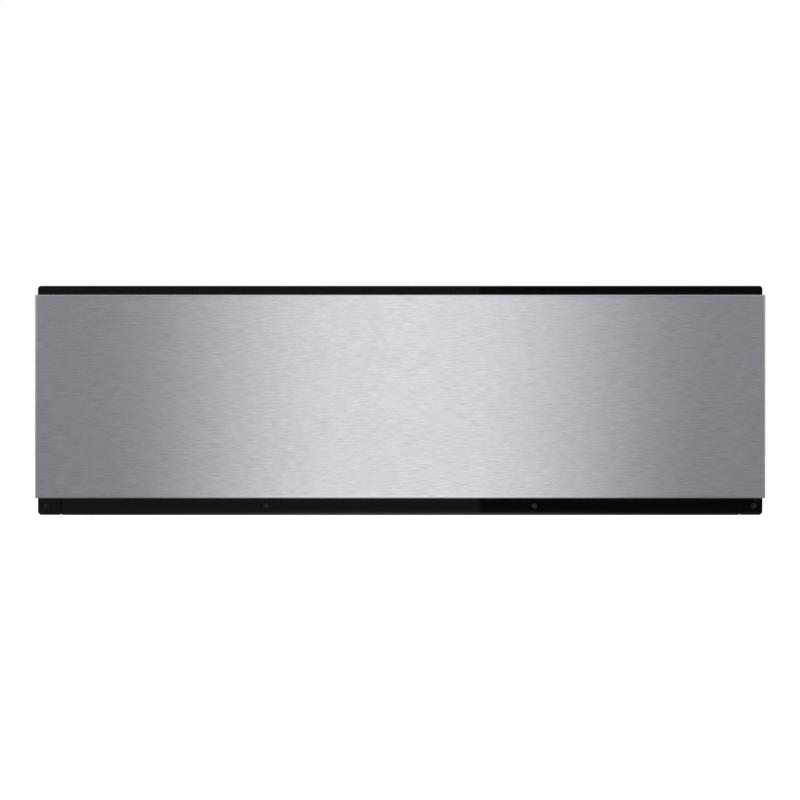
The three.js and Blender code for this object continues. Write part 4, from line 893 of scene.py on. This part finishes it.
# %% Screw forms
HEAD_PROFILE = ((1, 0), (1, 0.3), (0.93, 0.6), (0.75, 0.85), (0.45, 0.97), (0, 1))
HEAD_FOOT = -1.2 * MM
THREAD_FROM = 4 * MM
THREAD_PITCH = 1.3 * MM
THREAD_SIDES = 16


def cross_cutter(radius, rise):
    arm, thick, foot_z = radius * 0.62, radius * 0.15, rise * 0.25
    cross = bmesh.new()
    for u, v in ((arm, thick), (thick, arm)):
        top = [cross.verts.new((a * u, b * v, rise * 1.2)) for a, b in CORNERS]
        foot = [cross.verts.new((a * u * 0.5, b * v * 0.7, foot_z)) for a, b in CORNERS]
        cross.faces.new(top)
        cross.faces.new(foot[::-1])
        for k in range(4):
            cross.faces.new((top[k], foot[k], foot[(k + 1) % 4], top[(k + 1) % 4]))
    bmesh.ops.recalc_face_normals(cross, faces=cross.faces)
    return cross


def thread_form(core, shank):
    rings = [[(0, 0, 0)]]
    count = round(shank / (THREAD_PITCH / 4))
    for k in range(count + 1):
        height = -shank * k / count
        taper = min(1.0, (1 - k / count) * 5)
        ring = []
        for j in range(THREAD_SIDES):
            turn = 2 * math.pi * j / THREAD_SIDES
            phase = (height / THREAD_PITCH + j / THREAD_SIDES) % 1.0
            ridge = max(0.0, 1 - abs(phase - 0.5) * 4) * 0.22
            radius = core * (0.8 + ridge) * taper
            ring.append((radius * math.cos(turn), radius * math.sin(turn), height))
        rings.append(ring if taper > 0 else [(0, 0, height)])
    return ringed_form(rings)


def screw_form(place, out, radius, rise, shank):
    """A pan-head screw whose seat is at place and whose head points along out."""
    neck = [(0, HEAD_FOOT), (radius * 0.5, HEAD_FOOT), (radius * 0.5, 0)]
    head = turned_form(neck + [(radius * r, rise * h) for r, h in HEAD_PROFILE], 24)
    screw = cut_away(head, cross_cutter(radius, rise))
    if shank > THREAD_FROM:
        screw = merged(screw, thread_form(radius * 0.52, shank))
    return aimed(screw, place, out)


print("thread pitch in mm:", round(THREAD_PITCH / MM, 1))

# %% [markdown]
# ## The frame's screws
#
# Four blackened screws hold the low bar, one near each end and two between. They take their places from the
# CAD nodes that they stand for, so that they move along if those do.

# %% Trim screws
for number in range(1, 5):
    low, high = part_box(f"trim_screw_{number}")
    place = ((low.x + high.x) / 2, bar_low.y, (low.z + high.z) / 2)
    screw = screw_form(place, (0, -1, 0), 3 * MM, 1.5 * MM, 20 * MM)
    finish_piece(f"trim_screw_head_{number}", screw, screw_black, "housing",
                 f"trim_screw_{number}")
print("trim screws:", number)

# %% [markdown]
# ## Pressed fields
#
# Flat sheet drums and sags, so a maker presses raised fields into each large face. They could be left to a
# bump in the material, but a bump has no outline, and real fields catch the light along their slopes. So each
# is a shallow form of its own: rings with rounded corners that climb a soft slope.

# %% Field forms
def rounded_ring(half_u, half_v, radius, height, steps=6):
    ring = []
    for quarter, (su, sv) in enumerate(CORNERS):
        for k in range(steps + 1):
            turn = math.pi / 2 * (quarter + k / steps)
            ring.append((su * (half_u - radius) + radius * math.cos(turn),
                         sv * (half_v - radius) + radius * math.sin(turn), height))
    return ring


def pressed_form(half_u, half_v, radius, rise, slope, steps=6):
    rings = []
    for k in range(steps + 1):
        height = rise * (0.5 - 0.5 * math.cos(math.pi * k / steps))
        inset = slope * k / steps
        rings.append(rounded_ring(half_u - inset, half_v - inset, max(radius - inset, 0.4 * MM), height))
    return ringed_form(rings)


def set_on_sheet(form, place, out):
    """Stands a form on a sheet that faces out. On a side wall its first direction is then upright."""
    turn = Matrix.Identity(3)
    if out[0]:
        turn = Matrix(((0, 0, out[0]), (0, 1, 0), (1, 0, 0)))
    elif out[1]:
        turn = Matrix(((1, 0, 0), (0, 0, out[1]), (0, 1, 0)))
    bmesh.ops.transform(form, matrix=Matrix.Translation(place) @ turn.to_4x4(), verts=form.verts)
    bmesh.ops.recalc_face_normals(form, faces=form.faces)
    return form


print("points round a field:", len(rounded_ring(100 * MM, 50 * MM, 10 * MM, 0)))

# %% [markdown]
# ## The housing
#
# The housing is a plain box of galvanised sheet, and its CAD sheets only need their edges eased. The cover
# and the rear wall get one large field each, and the side walls get two long ones, above and below the
# runner.

# %% Housing sheets
for node in ("housing_floor", "housing_left_wall", "housing_right_wall", "housing_rear_wall", "top_cover",
             "inner_ceiling"):
    eased_node(node, 0.3 * MM)
BACK = (0, 1, 0)
wall_x, cover_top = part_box("top_cover")[1].x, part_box("top_cover")[1].z
rear_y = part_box("housing_rear_wall")[1].y
# Each field's half width, half length, corner radius, rise and slope, in mm.
fields = {"top_cover_field": ((0, 0, cover_top), UP, (270, 205, 24, 2.6, 9)),
          "rear_wall_field": ((60 * MM, rear_y, 96 * MM), BACK, (250, 52, 16, 1.8, 6))}
for side, word in SIDES:
    for number, (height, half) in enumerate(((150, 16), (26, 10))):
        fields[f"{word}_wall_field_{number + 1}"] = ((side * wall_x, 0, height * MM), (side, 0, 0),
                                                     (half, 210, half - 1, 1.8, 6))
for name, (place, out, field) in fields.items():
    form = set_on_sheet(pressed_form(*(size * MM for size in field)), place, out)
    finish_piece(name, form, galvanised, "housing")
print("pressed fields:", len(fields))

# %% [markdown]
# ## The housing's screws
#
# Pan-head screws hold the cover and the rear wall, and others hold the runners through the side walls. Each
# could be placed by hand, but they sit in rows, so each group is one line that says where its rows cross.

# %% Housing screws
spots = [((x * MM, y * MM, cover_top), UP) for x in (-330, -110, 110, 330) for y in (-262, 262)]
spots += [((x * MM, y * MM, cover_top), UP) for y in (-90, 90) for x in (-338, 338)]
spots += [((x * MM, rear_y, z * MM), BACK) for x in (-338, 338) for z in (14, 110, 198)]
spots += [((side * wall_x, y * MM, 70 * MM), (side, 0, 0))
          for side in (-1, 1) for y in (-240, -60, 120, 210)]
for number, (place, out) in enumerate(spots):
    finish_piece(f"housing_screw_{number + 1}", screw_form(place, out, 3.6 * MM, 1.7 * MM, 2.5 * MM),
                 zinc_plate, "housing")
print("housing screws:", len(spots))

# %% [markdown]
# ## Earth stud
#
# A metal appliance has an earth stud near its cable: a threaded brass pin through the rear wall, with a
# washer and a hexagonal nut. A nut is a turned form with only six points to a ring, so the same function
# makes all of it, and the pin's end is a trace narrower across one pair of its flats.

# %% Earth stud
stud_place = (-232 * MM, rear_y, 30 * MM)
NUT = ((0, 0), (3.6, 0), (4.0, 0.3), (4.0, 1.9), (3.6, 2.2), (2.0, 2.2), (1.9, 2.4), (1.9, 3.3), (1.6, 3.6),
       (0, 3.6))
WASHER = ((0, 0), (5.2, 0), (5.2, 0.5), (4.9, 0.7), (0, 0.7))
nut = turned_form([(r * MM, h * MM) for r, h in NUT], 6)
for vertex in nut.verts:
    if math.hypot(vertex.co.x, vertex.co.y) < 2.1 * MM and vertex.co.z > 2.1 * MM:
        vertex.co.x *= 0.95
    vertex.co.z += 0.3 * MM
washer = turned_form([(r * MM, h * MM) for r, h in WASHER], 24)
finish_piece("earth_nut", aimed(merged(nut, washer), stud_place, BACK), brass, "housing",
             crease=30)
print("earth stud at x =", round(stud_place[0] / MM), "mm")

# %% [markdown]
# ## The drawer's tub
#
# The tub is satin stainless steel, folded from sheet. Its inner corners are rounded so that they can be
# wiped. The CAD walls meet at right angles. They could be joined and their seams bevelled, but they would
# then no longer be the CAD model's separate sheets. So each corner gets a cove instead: an upright piece
# whose inner face is a quarter circle, and which ends just under the rim.

# %% Tub walls and coves
for node in ("drawer_left_wall", "drawer_right_wall", "drawer_rear_wall", "drawer_front_wall",
             "drawer_floor"):
    eased_node(node, 0.35 * MM, 2, ("y", "z") if "_left" in node or "_right" in node else ("x", "z"),
               tub_steel)
TUB_X = 304 * MM
COVE_R = 9 * MM
COVE_STEPS = 8
RIM_DROP = 0.3 * MM
tub_front, tub_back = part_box("control_strip")[1].y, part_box("fan_grille")[1].y
tub_middle, tub_half = (tub_front + tub_back) / 2, (tub_back - tub_front) / 2
tub_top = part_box("drawer_left_wall")[1].z
glass_low, glass_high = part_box("glass_plate")


def cove_form(side, end, corner, low, high):
    outline = [corner]
    for k in range(COVE_STEPS + 1):
        turn = math.pi / 2 * k / COVE_STEPS
        outline.append(corner + Vector((-side * COVE_R * (1 - math.sin(turn)),
                                        -end * COVE_R * (1 - math.cos(turn)))))
    cove = ringed_form([[(p.x, p.y, z) for p in outline] for z in (low, high)])
    cove.faces.new([v for v in cove.verts if abs(v.co.z - low) < 1e-6][:len(outline)])
    bmesh.ops.recalc_face_normals(cove, faces=cove.faces)
    return cove


for side, word in SIDES:
    for end, edge in ((-1, tub_front), (1, tub_back)):
        corner = Vector((side * (TUB_X + 0.2 * MM), edge + end * 0.2 * MM))
        cove = cove_form(side, end, corner, glass_high.z + 0.4 * MM, tub_top - RIM_DROP)
        finish_piece(f"tub_cove_{word[0]}{'f' if end < 0 else 'b'}", cove, tub_steel, "drawer",
                     grain=("z", "x"))
print("tub depth over the glass in mm:", round((tub_top - glass_high.z) / MM, 1))

# %% [markdown]
# ## The tub's lip
#
# Round the tub's rim runs a rolled lip, which stiffens it and is kind to fingers: a round bar led along a
# rectangle with rounded corners. A curve with a bevel makes bars as well. This function does it with faces,
# so that the lip and the sealant bead below can be pieces like the others.

# %% Rolled lip
def bar_round(ring, middle, radius, sides):
    """A round bar along a closed ring of points."""
    points = [Vector(p) + middle for p in ring]
    form = bmesh.new()
    made = []
    normal = (points[1] - points[-1]).normalized().orthogonal().normalized()
    for k, point in enumerate(points):
        way = (points[(k + 1) % len(points)] - points[k - 1]).normalized()
        normal = (normal - way * normal.dot(way)).normalized()
        ring_points = [point + radius * (math.cos(2 * math.pi * j / sides) * normal +
                                         math.sin(2 * math.pi * j / sides) * way.cross(normal))
                       for j in range(sides)]
        made.append([form.verts.new(p) for p in ring_points])
    for one, two in zip(made, made[1:] + made[:1]):
        for j in range(sides):
            form.faces.new((one[j], one[(j + 1) % sides], two[(j + 1) % sides], two[j]))
    bmesh.ops.recalc_face_normals(form, faces=form.faces)
    return form


lip_ring = rounded_ring(TUB_X + 1.3 * MM, tub_half + 1.3 * MM, COVE_R, 0)
lip = bar_round(lip_ring, Vector((0, tub_middle, tub_top - RIM_DROP)), 1.1 * MM, 12)
finish_piece("tub_lip", lip, tub_steel, "drawer")
print("points along the lip:", len(lip_ring))

# %% [markdown]
# ## The hot plate
#
# The tub's floor is a plate of dark ceramic glass, which lies on narrow ledges in a bead of black silicone,
# with the heater below it. Its edges are ground round, and a thin frame line is fired onto it. The line could
# be a stripe in the glass's material, but a separate ring, 0.04 mm high, keeps its own finish.

# %% Hot plate and sealant
PRINT_T = 0.04 * MM
FRIT_INSET = (20 * MM, 21.2 * MM)
glass = copied_form("glass_plate")
round_edges(glass, 1.1 * MM, 4)
finish_piece("hot_plate", glass, dark_glass, "drawer", "glass_plate")
plate_half_y, plate_middle_y = (glass_high.y - glass_low.y) / 2, (glass_low.y + glass_high.y) / 2
frit_line = ringed_form([rounded_ring(glass_high.x - inset, plate_half_y - inset, 14 * MM, height)
                         for inset, height in ((FRIT_INSET[0], 0), (FRIT_INSET[0], PRINT_T),
                                               (FRIT_INSET[1], PRINT_T), (FRIT_INSET[1], 0))])
bmesh.ops.delete(frit_line, geom=[f for f in frit_line.faces if len(f.verts) > 4], context="FACES_ONLY")
finish_piece("hot_plate_border", aimed(frit_line, (0, plate_middle_y, glass_high.z)), grey_frit, "drawer")
bead_ring = rounded_ring(TUB_X - 0.9 * MM, tub_half - 0.9 * MM, 8 * MM, 0, 5)
bead = bar_round(bead_ring, Vector((0, tub_middle, glass_high.z - 0.9 * MM)), 1.25 * MM, 8)
finish_piece("sealant_bead", bead, silicone, "drawer")
print("frit line inset in mm:", [round(inset / MM, 1) for inset in FRIT_INSET])

# %% [markdown]
# ## Spot welds and a stiffening field on the drawer's sides
#
# Each side of the drawer is a double wall. The outer sheet is spot-welded to the inner one along its top and
# bottom: a row of round marks, each with a raised rim a tenth of a millimetre high. Between them the sheet is
# pressed out by less than half a millimetre, because the runner leaves no room for more. Both are real relief
# and not a bump, because the light falls flat along these walls.

# %% Drawer sides
WELD = ((0, 0.02), (1.7, 0.02), (2.2, 0.13), (2.6, 0.12), (3.1, -0.1))
WELD_ROWS = (17 * MM, 173 * MM)
WELD_COUNT = 9
WELD_START, WELD_PITCH = 24 * MM, 54 * MM
SIDE_FIELD = (30 * MM, 222 * MM, 14 * MM, 0.42 * MM, 4 * MM)
side_low, side_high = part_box("drawer_right_wall")
for side, word in SIDES:
    out = (side, 0, 0)
    marks = [aimed(turned_form([(r * MM, h * MM) for r, h in WELD], 20),
                   (side * side_high.x, side_low.y + WELD_START + k * WELD_PITCH, z), out)
             for z in WELD_ROWS for k in range(WELD_COUNT)]
    finish_piece(f"{word}_weld_marks", merged(*marks), tub_steel, "drawer",
                 grain=("y", "z"))
    middle = (side * side_high.x, (side_low.y + side_high.y) / 2 + 5 * MM, 128 * MM)
    finish_piece(f"{word}_drawer_field", set_on_sheet(pressed_form(*SIDE_FIELD), middle, out), tub_steel,
                 "drawer", grain=("y", "z"))
print("weld marks on each side:", len(marks))

# %% [markdown]
# ## Runners
#
# Each runner is three rolled channels of zinc-plated steel with ball cages between them. The middle channel
# has punched slots, through which a screwdriver reaches the screws behind it. The drawer's own channel is
# held by flat screws that are sunk into its web, so that the balls' cage can pass over them. Dark patches
# could stand for the holes, but with the drawer open one looks through them, so they are cut out.

# %% Runner slots and sunk screws
SLOTS_Y, HOLES_Y = (-240, -66, 108, 206), (-212, -150, 20, 164)
SCREWS_Y = (-246, -132, -18, 96, 180)
CHANNEL_T = 1.2 * MM
SUNK_R = 3.5 * MM


def round_cutter(place, out, radius, depth):
    return aimed(turned_form([(0, -depth), (radius, -depth), (radius, depth)], 24), place, out)


def slot_cutter(place, out, half_long, half_high, depth):
    rings = [rounded_ring(half_high, half_long, half_high * 0.98, z) for z in (-depth, depth)]
    form = ringed_form(rings)
    form.faces.new([v for v in form.verts if v.co.z < 0][:len(rings[0])])
    return set_on_sheet(form, place, out)


def machined_piece(name, node, cutters, edge, grain=("x", "y")):
    form = cut_away(copied_form(node), merged(*cutters))
    round_edges(form, edge)
    finish_piece(name, form, SLOT_FINISH[slot_of[node]], body_of[node], node, grain)


for side, word in SIDES:
    middle, inner, out = f"{word}_runner_middle", f"{word}_runner_inner", (side, 0, 0)
    low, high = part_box(middle)
    web_x, channel_z = side * max(abs(low.x), abs(high.x)), (low.z + high.z) / 2
    cutters = [slot_cutter((web_x, y * MM, channel_z), out, 13 * MM, 3.4 * MM, 2 * MM) for y in SLOTS_Y]
    cutters += [round_cutter((web_x, y * MM, channel_z), out, 2.6 * MM, 2 * MM) for y in HOLES_Y]
    machined_piece(f"{middle}_slotted", middle, cutters, 0.2 * MM, ("y", "z"))
    web_face = side * (min(abs(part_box(inner)[0].x), abs(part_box(inner)[1].x)) + CHANNEL_T)
    pockets = [round_cutter((web_face, y * MM, channel_z), out, SUNK_R, 1.0 * MM) for y in SCREWS_Y]
    machined_piece(f"{inner}_drilled", inner, pockets, 0.2 * MM, ("y", "z"))
    screws = [screw_form((web_face - side * 1.0 * MM, y * MM, channel_z), out, 3.2 * MM, 0.95 * MM, 0.1 * MM)
              for y in SCREWS_Y]
    finish_piece(f"{word}_runner_screws", merged(*screws), zinc_plate, "drawer")
print("runner screws on each side:", len(SCREWS_Y))

# %% [markdown]
# ## The front's back plate
#
# A plate closes the front behind its insulation and joins it to the tub. Its six screws come close to the
# black frame when the drawer is pushed in, so they are sunk and don't stand out: a round pocket is cut out
# first, as in the runners, and a low screw is set into it.

# %% Sunk screws in the back plate
PLATE_SCREW_DEPTH = 0.7 * MM
plate_low, plate_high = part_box("front_backplate")
plate_spots = [(x * MM, plate_high.y, z * MM) for x in (-354, 354) for z in (34, 105, 176)]
machined_piece("back_plate_drilled", "front_backplate",
               [round_cutter(spot, BACK, SUNK_R, PLATE_SCREW_DEPTH) for spot in plate_spots], 0.15 * MM)
screws = [screw_form((x, y - PLATE_SCREW_DEPTH, z), BACK, 3.2 * MM, 0.68 * MM, 0.1 * MM)
          for x, y, z in plate_spots]
finish_piece("back_plate_screws", merged(*screws), zinc_plate, "drawer")
print("back plate is", round((plate_high.y - plate_low.y) / MM, 2), "mm thick")

# %% [markdown]
# ## Warm-air grille
#
# The fan blows through slots in a steel plate on the tub's rear wall. The CAD node already has its slots as
# real openings, so it only needs its edges eased and the four small screws that hold it.

# %% Grille
GRILLE_SCREW_X, GRILLE_SCREW_Z = 6.5 * MM, 7 * MM
eased_node("fan_grille", 0.3 * MM, 2, ("x", "z"))
grille_low, grille_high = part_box("fan_grille")
for side, word in SIDES:
    for z in (grille_low.z + GRILLE_SCREW_Z, grille_high.z - GRILLE_SCREW_Z):
        screw = screw_form((side * (grille_high.x - GRILLE_SCREW_X), grille_low.y, z), (0, -1, 0), 2.6 * MM,
                           1.2 * MM, 2 * MM)
        finish_piece(f"grille_screw_{word[0]}{round(z / MM)}", screw, tub_steel, "drawer")
print("grille screws: 4")

# %% [markdown]
# ## The heat knob
#
# The controls are on the drawer's top edge, where they show only when it is open: a knob for the heat, a
# power button and a small amber lamp. The knob's skirt is knurled for wet fingers. A normal map would fake
# the knurls from above but not along the outline, so they are in the rings: each ring's radius dips 36 times
# on its way round. A raised white line on the cap points at the dial.

# %% Heat knob
eased_node("control_strip", 0.5 * MM, 3)
FLUTES = 36
POINTS = 8
KNOB_FOOT = 180.6 * MM
knob_low, knob_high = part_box("control_knob")
knob_x, knob_y = (knob_low.x + knob_high.x) / 2, (knob_low.y + knob_high.y) / 2
knob_r = (knob_high.x - knob_low.x) / 2
knob_top = knob_high.z - KNOB_FOOT


def fluted_ring(radius, height, depth):
    ring = []
    for k in range(FLUTES * POINTS):
        turn = 2 * math.pi * k / (FLUTES * POINTS)
        dip = depth * (0.5 - 0.5 * math.cos(turn * FLUTES)) ** 2
        ring.append(((radius - dip) * math.cos(turn), (radius - dip) * math.sin(turn), height))
    return ring


# The skirt by its inset, height and knurls' depth, then the cap by its inset, drop from the top and depth.
SKIRT = ((0.6, 0, 0), (0, 0.5, 0), (0, 1.6, 0), (0.4, 2.4, 0.7))
CAP = ((0.7, 2.2, 0.7), (1.3, 1.0, 0.45), (2.3, 0.35, 0.1), (3.6, 0.05, 0), (4.4, 0.1, 0), (5.2, 0.5, 0),
       (8.5, 0.75, 0))
rings = [fluted_ring(knob_r - inset * MM, height * MM, depth * MM) for inset, height, depth in SKIRT]
rings += [fluted_ring(knob_r - inset * MM, knob_top - drop * MM, depth * MM) for inset, drop, depth in CAP]
knob = ringed_form([[(0, 0, 0)]] + rings + [[(0, 0, knob_top - 0.8 * MM)]])
finish_piece("heat_knob", aimed(knob, (knob_x, knob_y, KNOB_FOOT)), black_nylon, "knob",
             "control_knob", crease=40)
pointer = pressed_form(0.7 * MM, 4.6 * MM, 0.6 * MM, 0.65 * MM, 0.15 * MM, 2)
finish_piece("knob_pointer", aimed(pointer, (knob_x, knob_y + knob_r - 5.6 * MM, knob_high.z - 0.7 * MM)),
             white_print, "knob")
print("knob flutes:", FLUTES)

# %% [markdown]
# ## The dial
#
# Plain numbers and ticks are printed round the knob on the glossy strip. An image would blur when the camera
# comes close. Blender's own text, turned into a mesh as thin as ink, stays sharp at any distance.

# %% Dial numbers
DIAL_R = knob_r + 5.2 * MM
DIAL_TURN = 270
NUMBERS, TICKS = 4, 16
NUMBER_SIZE = 4.2 * MM
strip_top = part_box("control_strip")[1].z


def number_form(text, size, place):
    curve = bpy.data.curves.new("number", "FONT")
    curve.body, curve.size, curve.align_x, curve.align_y = text, size, "CENTER", "CENTER"
    curve.extrude, curve.resolution_u = PRINT_T / 2, 3
    drawn = bpy.data.objects.new("number", curve)
    scene.collection.objects.link(drawn)
    seen_by_blender = drawn.evaluated_get(bpy.context.evaluated_depsgraph_get())
    mesh = bpy.data.meshes.new_from_object(seen_by_blender)
    form = bmesh.new()
    form.from_mesh(mesh)
    bpy.data.meshes.remove(mesh)
    bpy.data.objects.remove(drawn)
    return aimed(form, place)


dial = []
for number in range(NUMBERS + 1):
    turn = math.radians(90 - DIAL_TURN * number / NUMBERS)
    place = (knob_x + DIAL_R * math.cos(turn), knob_y + DIAL_R * math.sin(turn), strip_top + PRINT_T / 2)
    dial.append(number_form(str(number), NUMBER_SIZE, place))
for number in range(TICKS + 1):
    if number % (TICKS // NUMBERS):
        turn = Matrix.Rotation(math.radians(90 - DIAL_TURN * number / TICKS), 4, "Z")
        tick = block_form((knob_r + 1.4 * MM, -0.2 * MM, 0), (knob_r + 3.0 * MM, 0.2 * MM, PRINT_T))
        bmesh.ops.transform(tick, matrix=Matrix.Translation((knob_x, knob_y, strip_top)) @ turn,
                            verts=tick.verts)
        dial.append(tick)
finish_piece("dial_print", merged(*dial), white_print, "drawer")
print("dial numbers: 0 to", NUMBERS, "over", DIAL_TURN, "degrees")

# %% [markdown]
# ## Power button and lamp
#
# The button is a grey nylon cap with a dished top, so that a finger finds its middle. A bezel rolled from
# thin zinc-plated steel hides the gap round it. The lamp's lens is a small amber dome. All three are turned
# forms, and each outline is a list of radii and heights.

# %% Button and lamp
button_low, button_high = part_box("power_button")
button_x, button_y = (button_low.x + button_high.x) / 2, (button_low.y + button_high.y) / 2
foot, top, radius = button_low.z, button_high.z, 6.3 * MM
cap = turned_form([(0, foot), (radius + 1.3 * MM, foot), (radius + 1.3 * MM, foot + 1.2 * MM),
                   (radius, foot + 1.4 * MM), (radius, top - 0.9 * MM), (radius - 0.3 * MM, top - 0.3 * MM),
                   (radius - 0.9 * MM, top), (radius - 1.6 * MM, top - 0.05 * MM),
                   (radius * 0.5, top - 0.5 * MM), (0, top - 0.65 * MM)], 48)
finish_piece("power_button_cap", aimed(cap, (button_x, button_y, 0)), grey_nylon, "button",
             "power_button")
BEZEL = ((0.45, 0), (0.45, 0.5), (0.8, 0.8), (1.5, 0.7), (2.1, 0.05))
bezel = turned_form([(radius + r * MM, h * MM) for r, h in BEZEL], 48)
bmesh.ops.delete(bezel, geom=[f for f in bezel.faces if len(f.verts) > 4], context="FACES_ONLY")
bmesh.ops.recalc_face_normals(bezel, faces=bezel.faces)
finish_piece("button_bezel", aimed(bezel, (button_x, button_y, strip_top)), zinc_plate, "drawer")
lens_low, lens_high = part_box("indicator_lens")
lens_x, lens_y = (lens_low.x + lens_high.x) / 2, (lens_low.y + lens_high.y) / 2
foot, top = lens_low.z, lens_high.z
dome = turned_form([(0, foot), (3.3 * MM, foot), (3.3 * MM, foot + 1.5 * MM), (2.1 * MM, foot + 1.7 * MM),
                    (2.1 * MM, top - 0.9 * MM), (1.9 * MM, top - 0.45 * MM), (1.3 * MM, top - 0.15 * MM),
                    (0, top)], 32)
finish_piece("indicator_dome", aimed(dome, (lens_x, lens_y, 0)), amber_lens, "drawer",
             "indicator_lens")
print("button and lamp stand", round((lens_x - button_x) / MM), "mm apart")

# %% [markdown]
# ## Wool
#
# Mineral wool fills the space round the tub, over the housing's ceiling and behind the front. Its fibres are
# far too many to model. What shows is a soft, uneven batt, so each is a block cut into squares whose corners
# sink in by a little noise. They only sink, so that no batt pushes through the sheet beside it.

# %% Wool batts
BATT_SQUARE = 34 * MM
AT_FACE = 0.999


def batt_form(low, high, square):
    form = block_form(low, high)
    size = high - low
    for axis in range(3):
        count = max(1, round(size[axis] / square))
        normal = Vector((axis == 0, axis == 1, axis == 2))
        for k in range(1, count):
            bmesh.ops.bisect_plane(form, geom=form.verts[:] + form.edges[:] + form.faces[:],
                                   plane_co=low + normal * size[axis] * k / count, plane_no=normal)
    middle, half = (low + high) / 2, size / 2
    for vertex in form.verts:
        share = Vector(abs(vertex.co[i] - middle[i]) / half[i] for i in range(3))
        faces_here = sum(1 for i in range(3) if share[i] > AT_FACE)
        sink = noise.noise(vertex.co / (0.7 * square)) * 0.5 + 0.5
        depth = (0.25 + 0.75 * sink) * min(half) * (0.16 + 0.12 * (faces_here - 1))
        vertex.co -= Vector(math.copysign(depth, vertex.co[i] - middle[i]) if share[i] > AT_FACE else 0
                            for i in range(3))
    return form


batts = [node for node in frame["nodes"] if slot_of[node] == "mineral_wool"]
for node in batts:
    finish_piece(f"{node}_batt", batt_form(*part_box(node), BATT_SQUARE), mineral_wool, body_of[node],
                 node, crease=80)
print("batts:", len(batts))

# %% [markdown]
# ## Everything else
#
# The remaining pieces, such as motor, latch, arm and brackets, keep their CAD form, with their edges eased by
# a quarter of a millimetre. Round and bent ones are many-sided in CAD. Bevelling each small side would only
# make it lumpy, so they are shaded smooth instead.

# %% Eased and smooth pieces
ROUND_NODES = ("heating_element", "fan_impeller", "left_inner_cage", "left_outer_cage",
               "right_inner_cage", "right_outer_cage")
for node in sorted(frame["nodes"]):
    if frame["nodes"][node].hide_render:
        continue
    if node in ROUND_NODES:
        finish_piece(f"{node}_smooth", copied_form(node), SLOT_FINISH[slot_of[node]], body_of[node],
                     node, crease=45)
    else:
        eased_node(node)
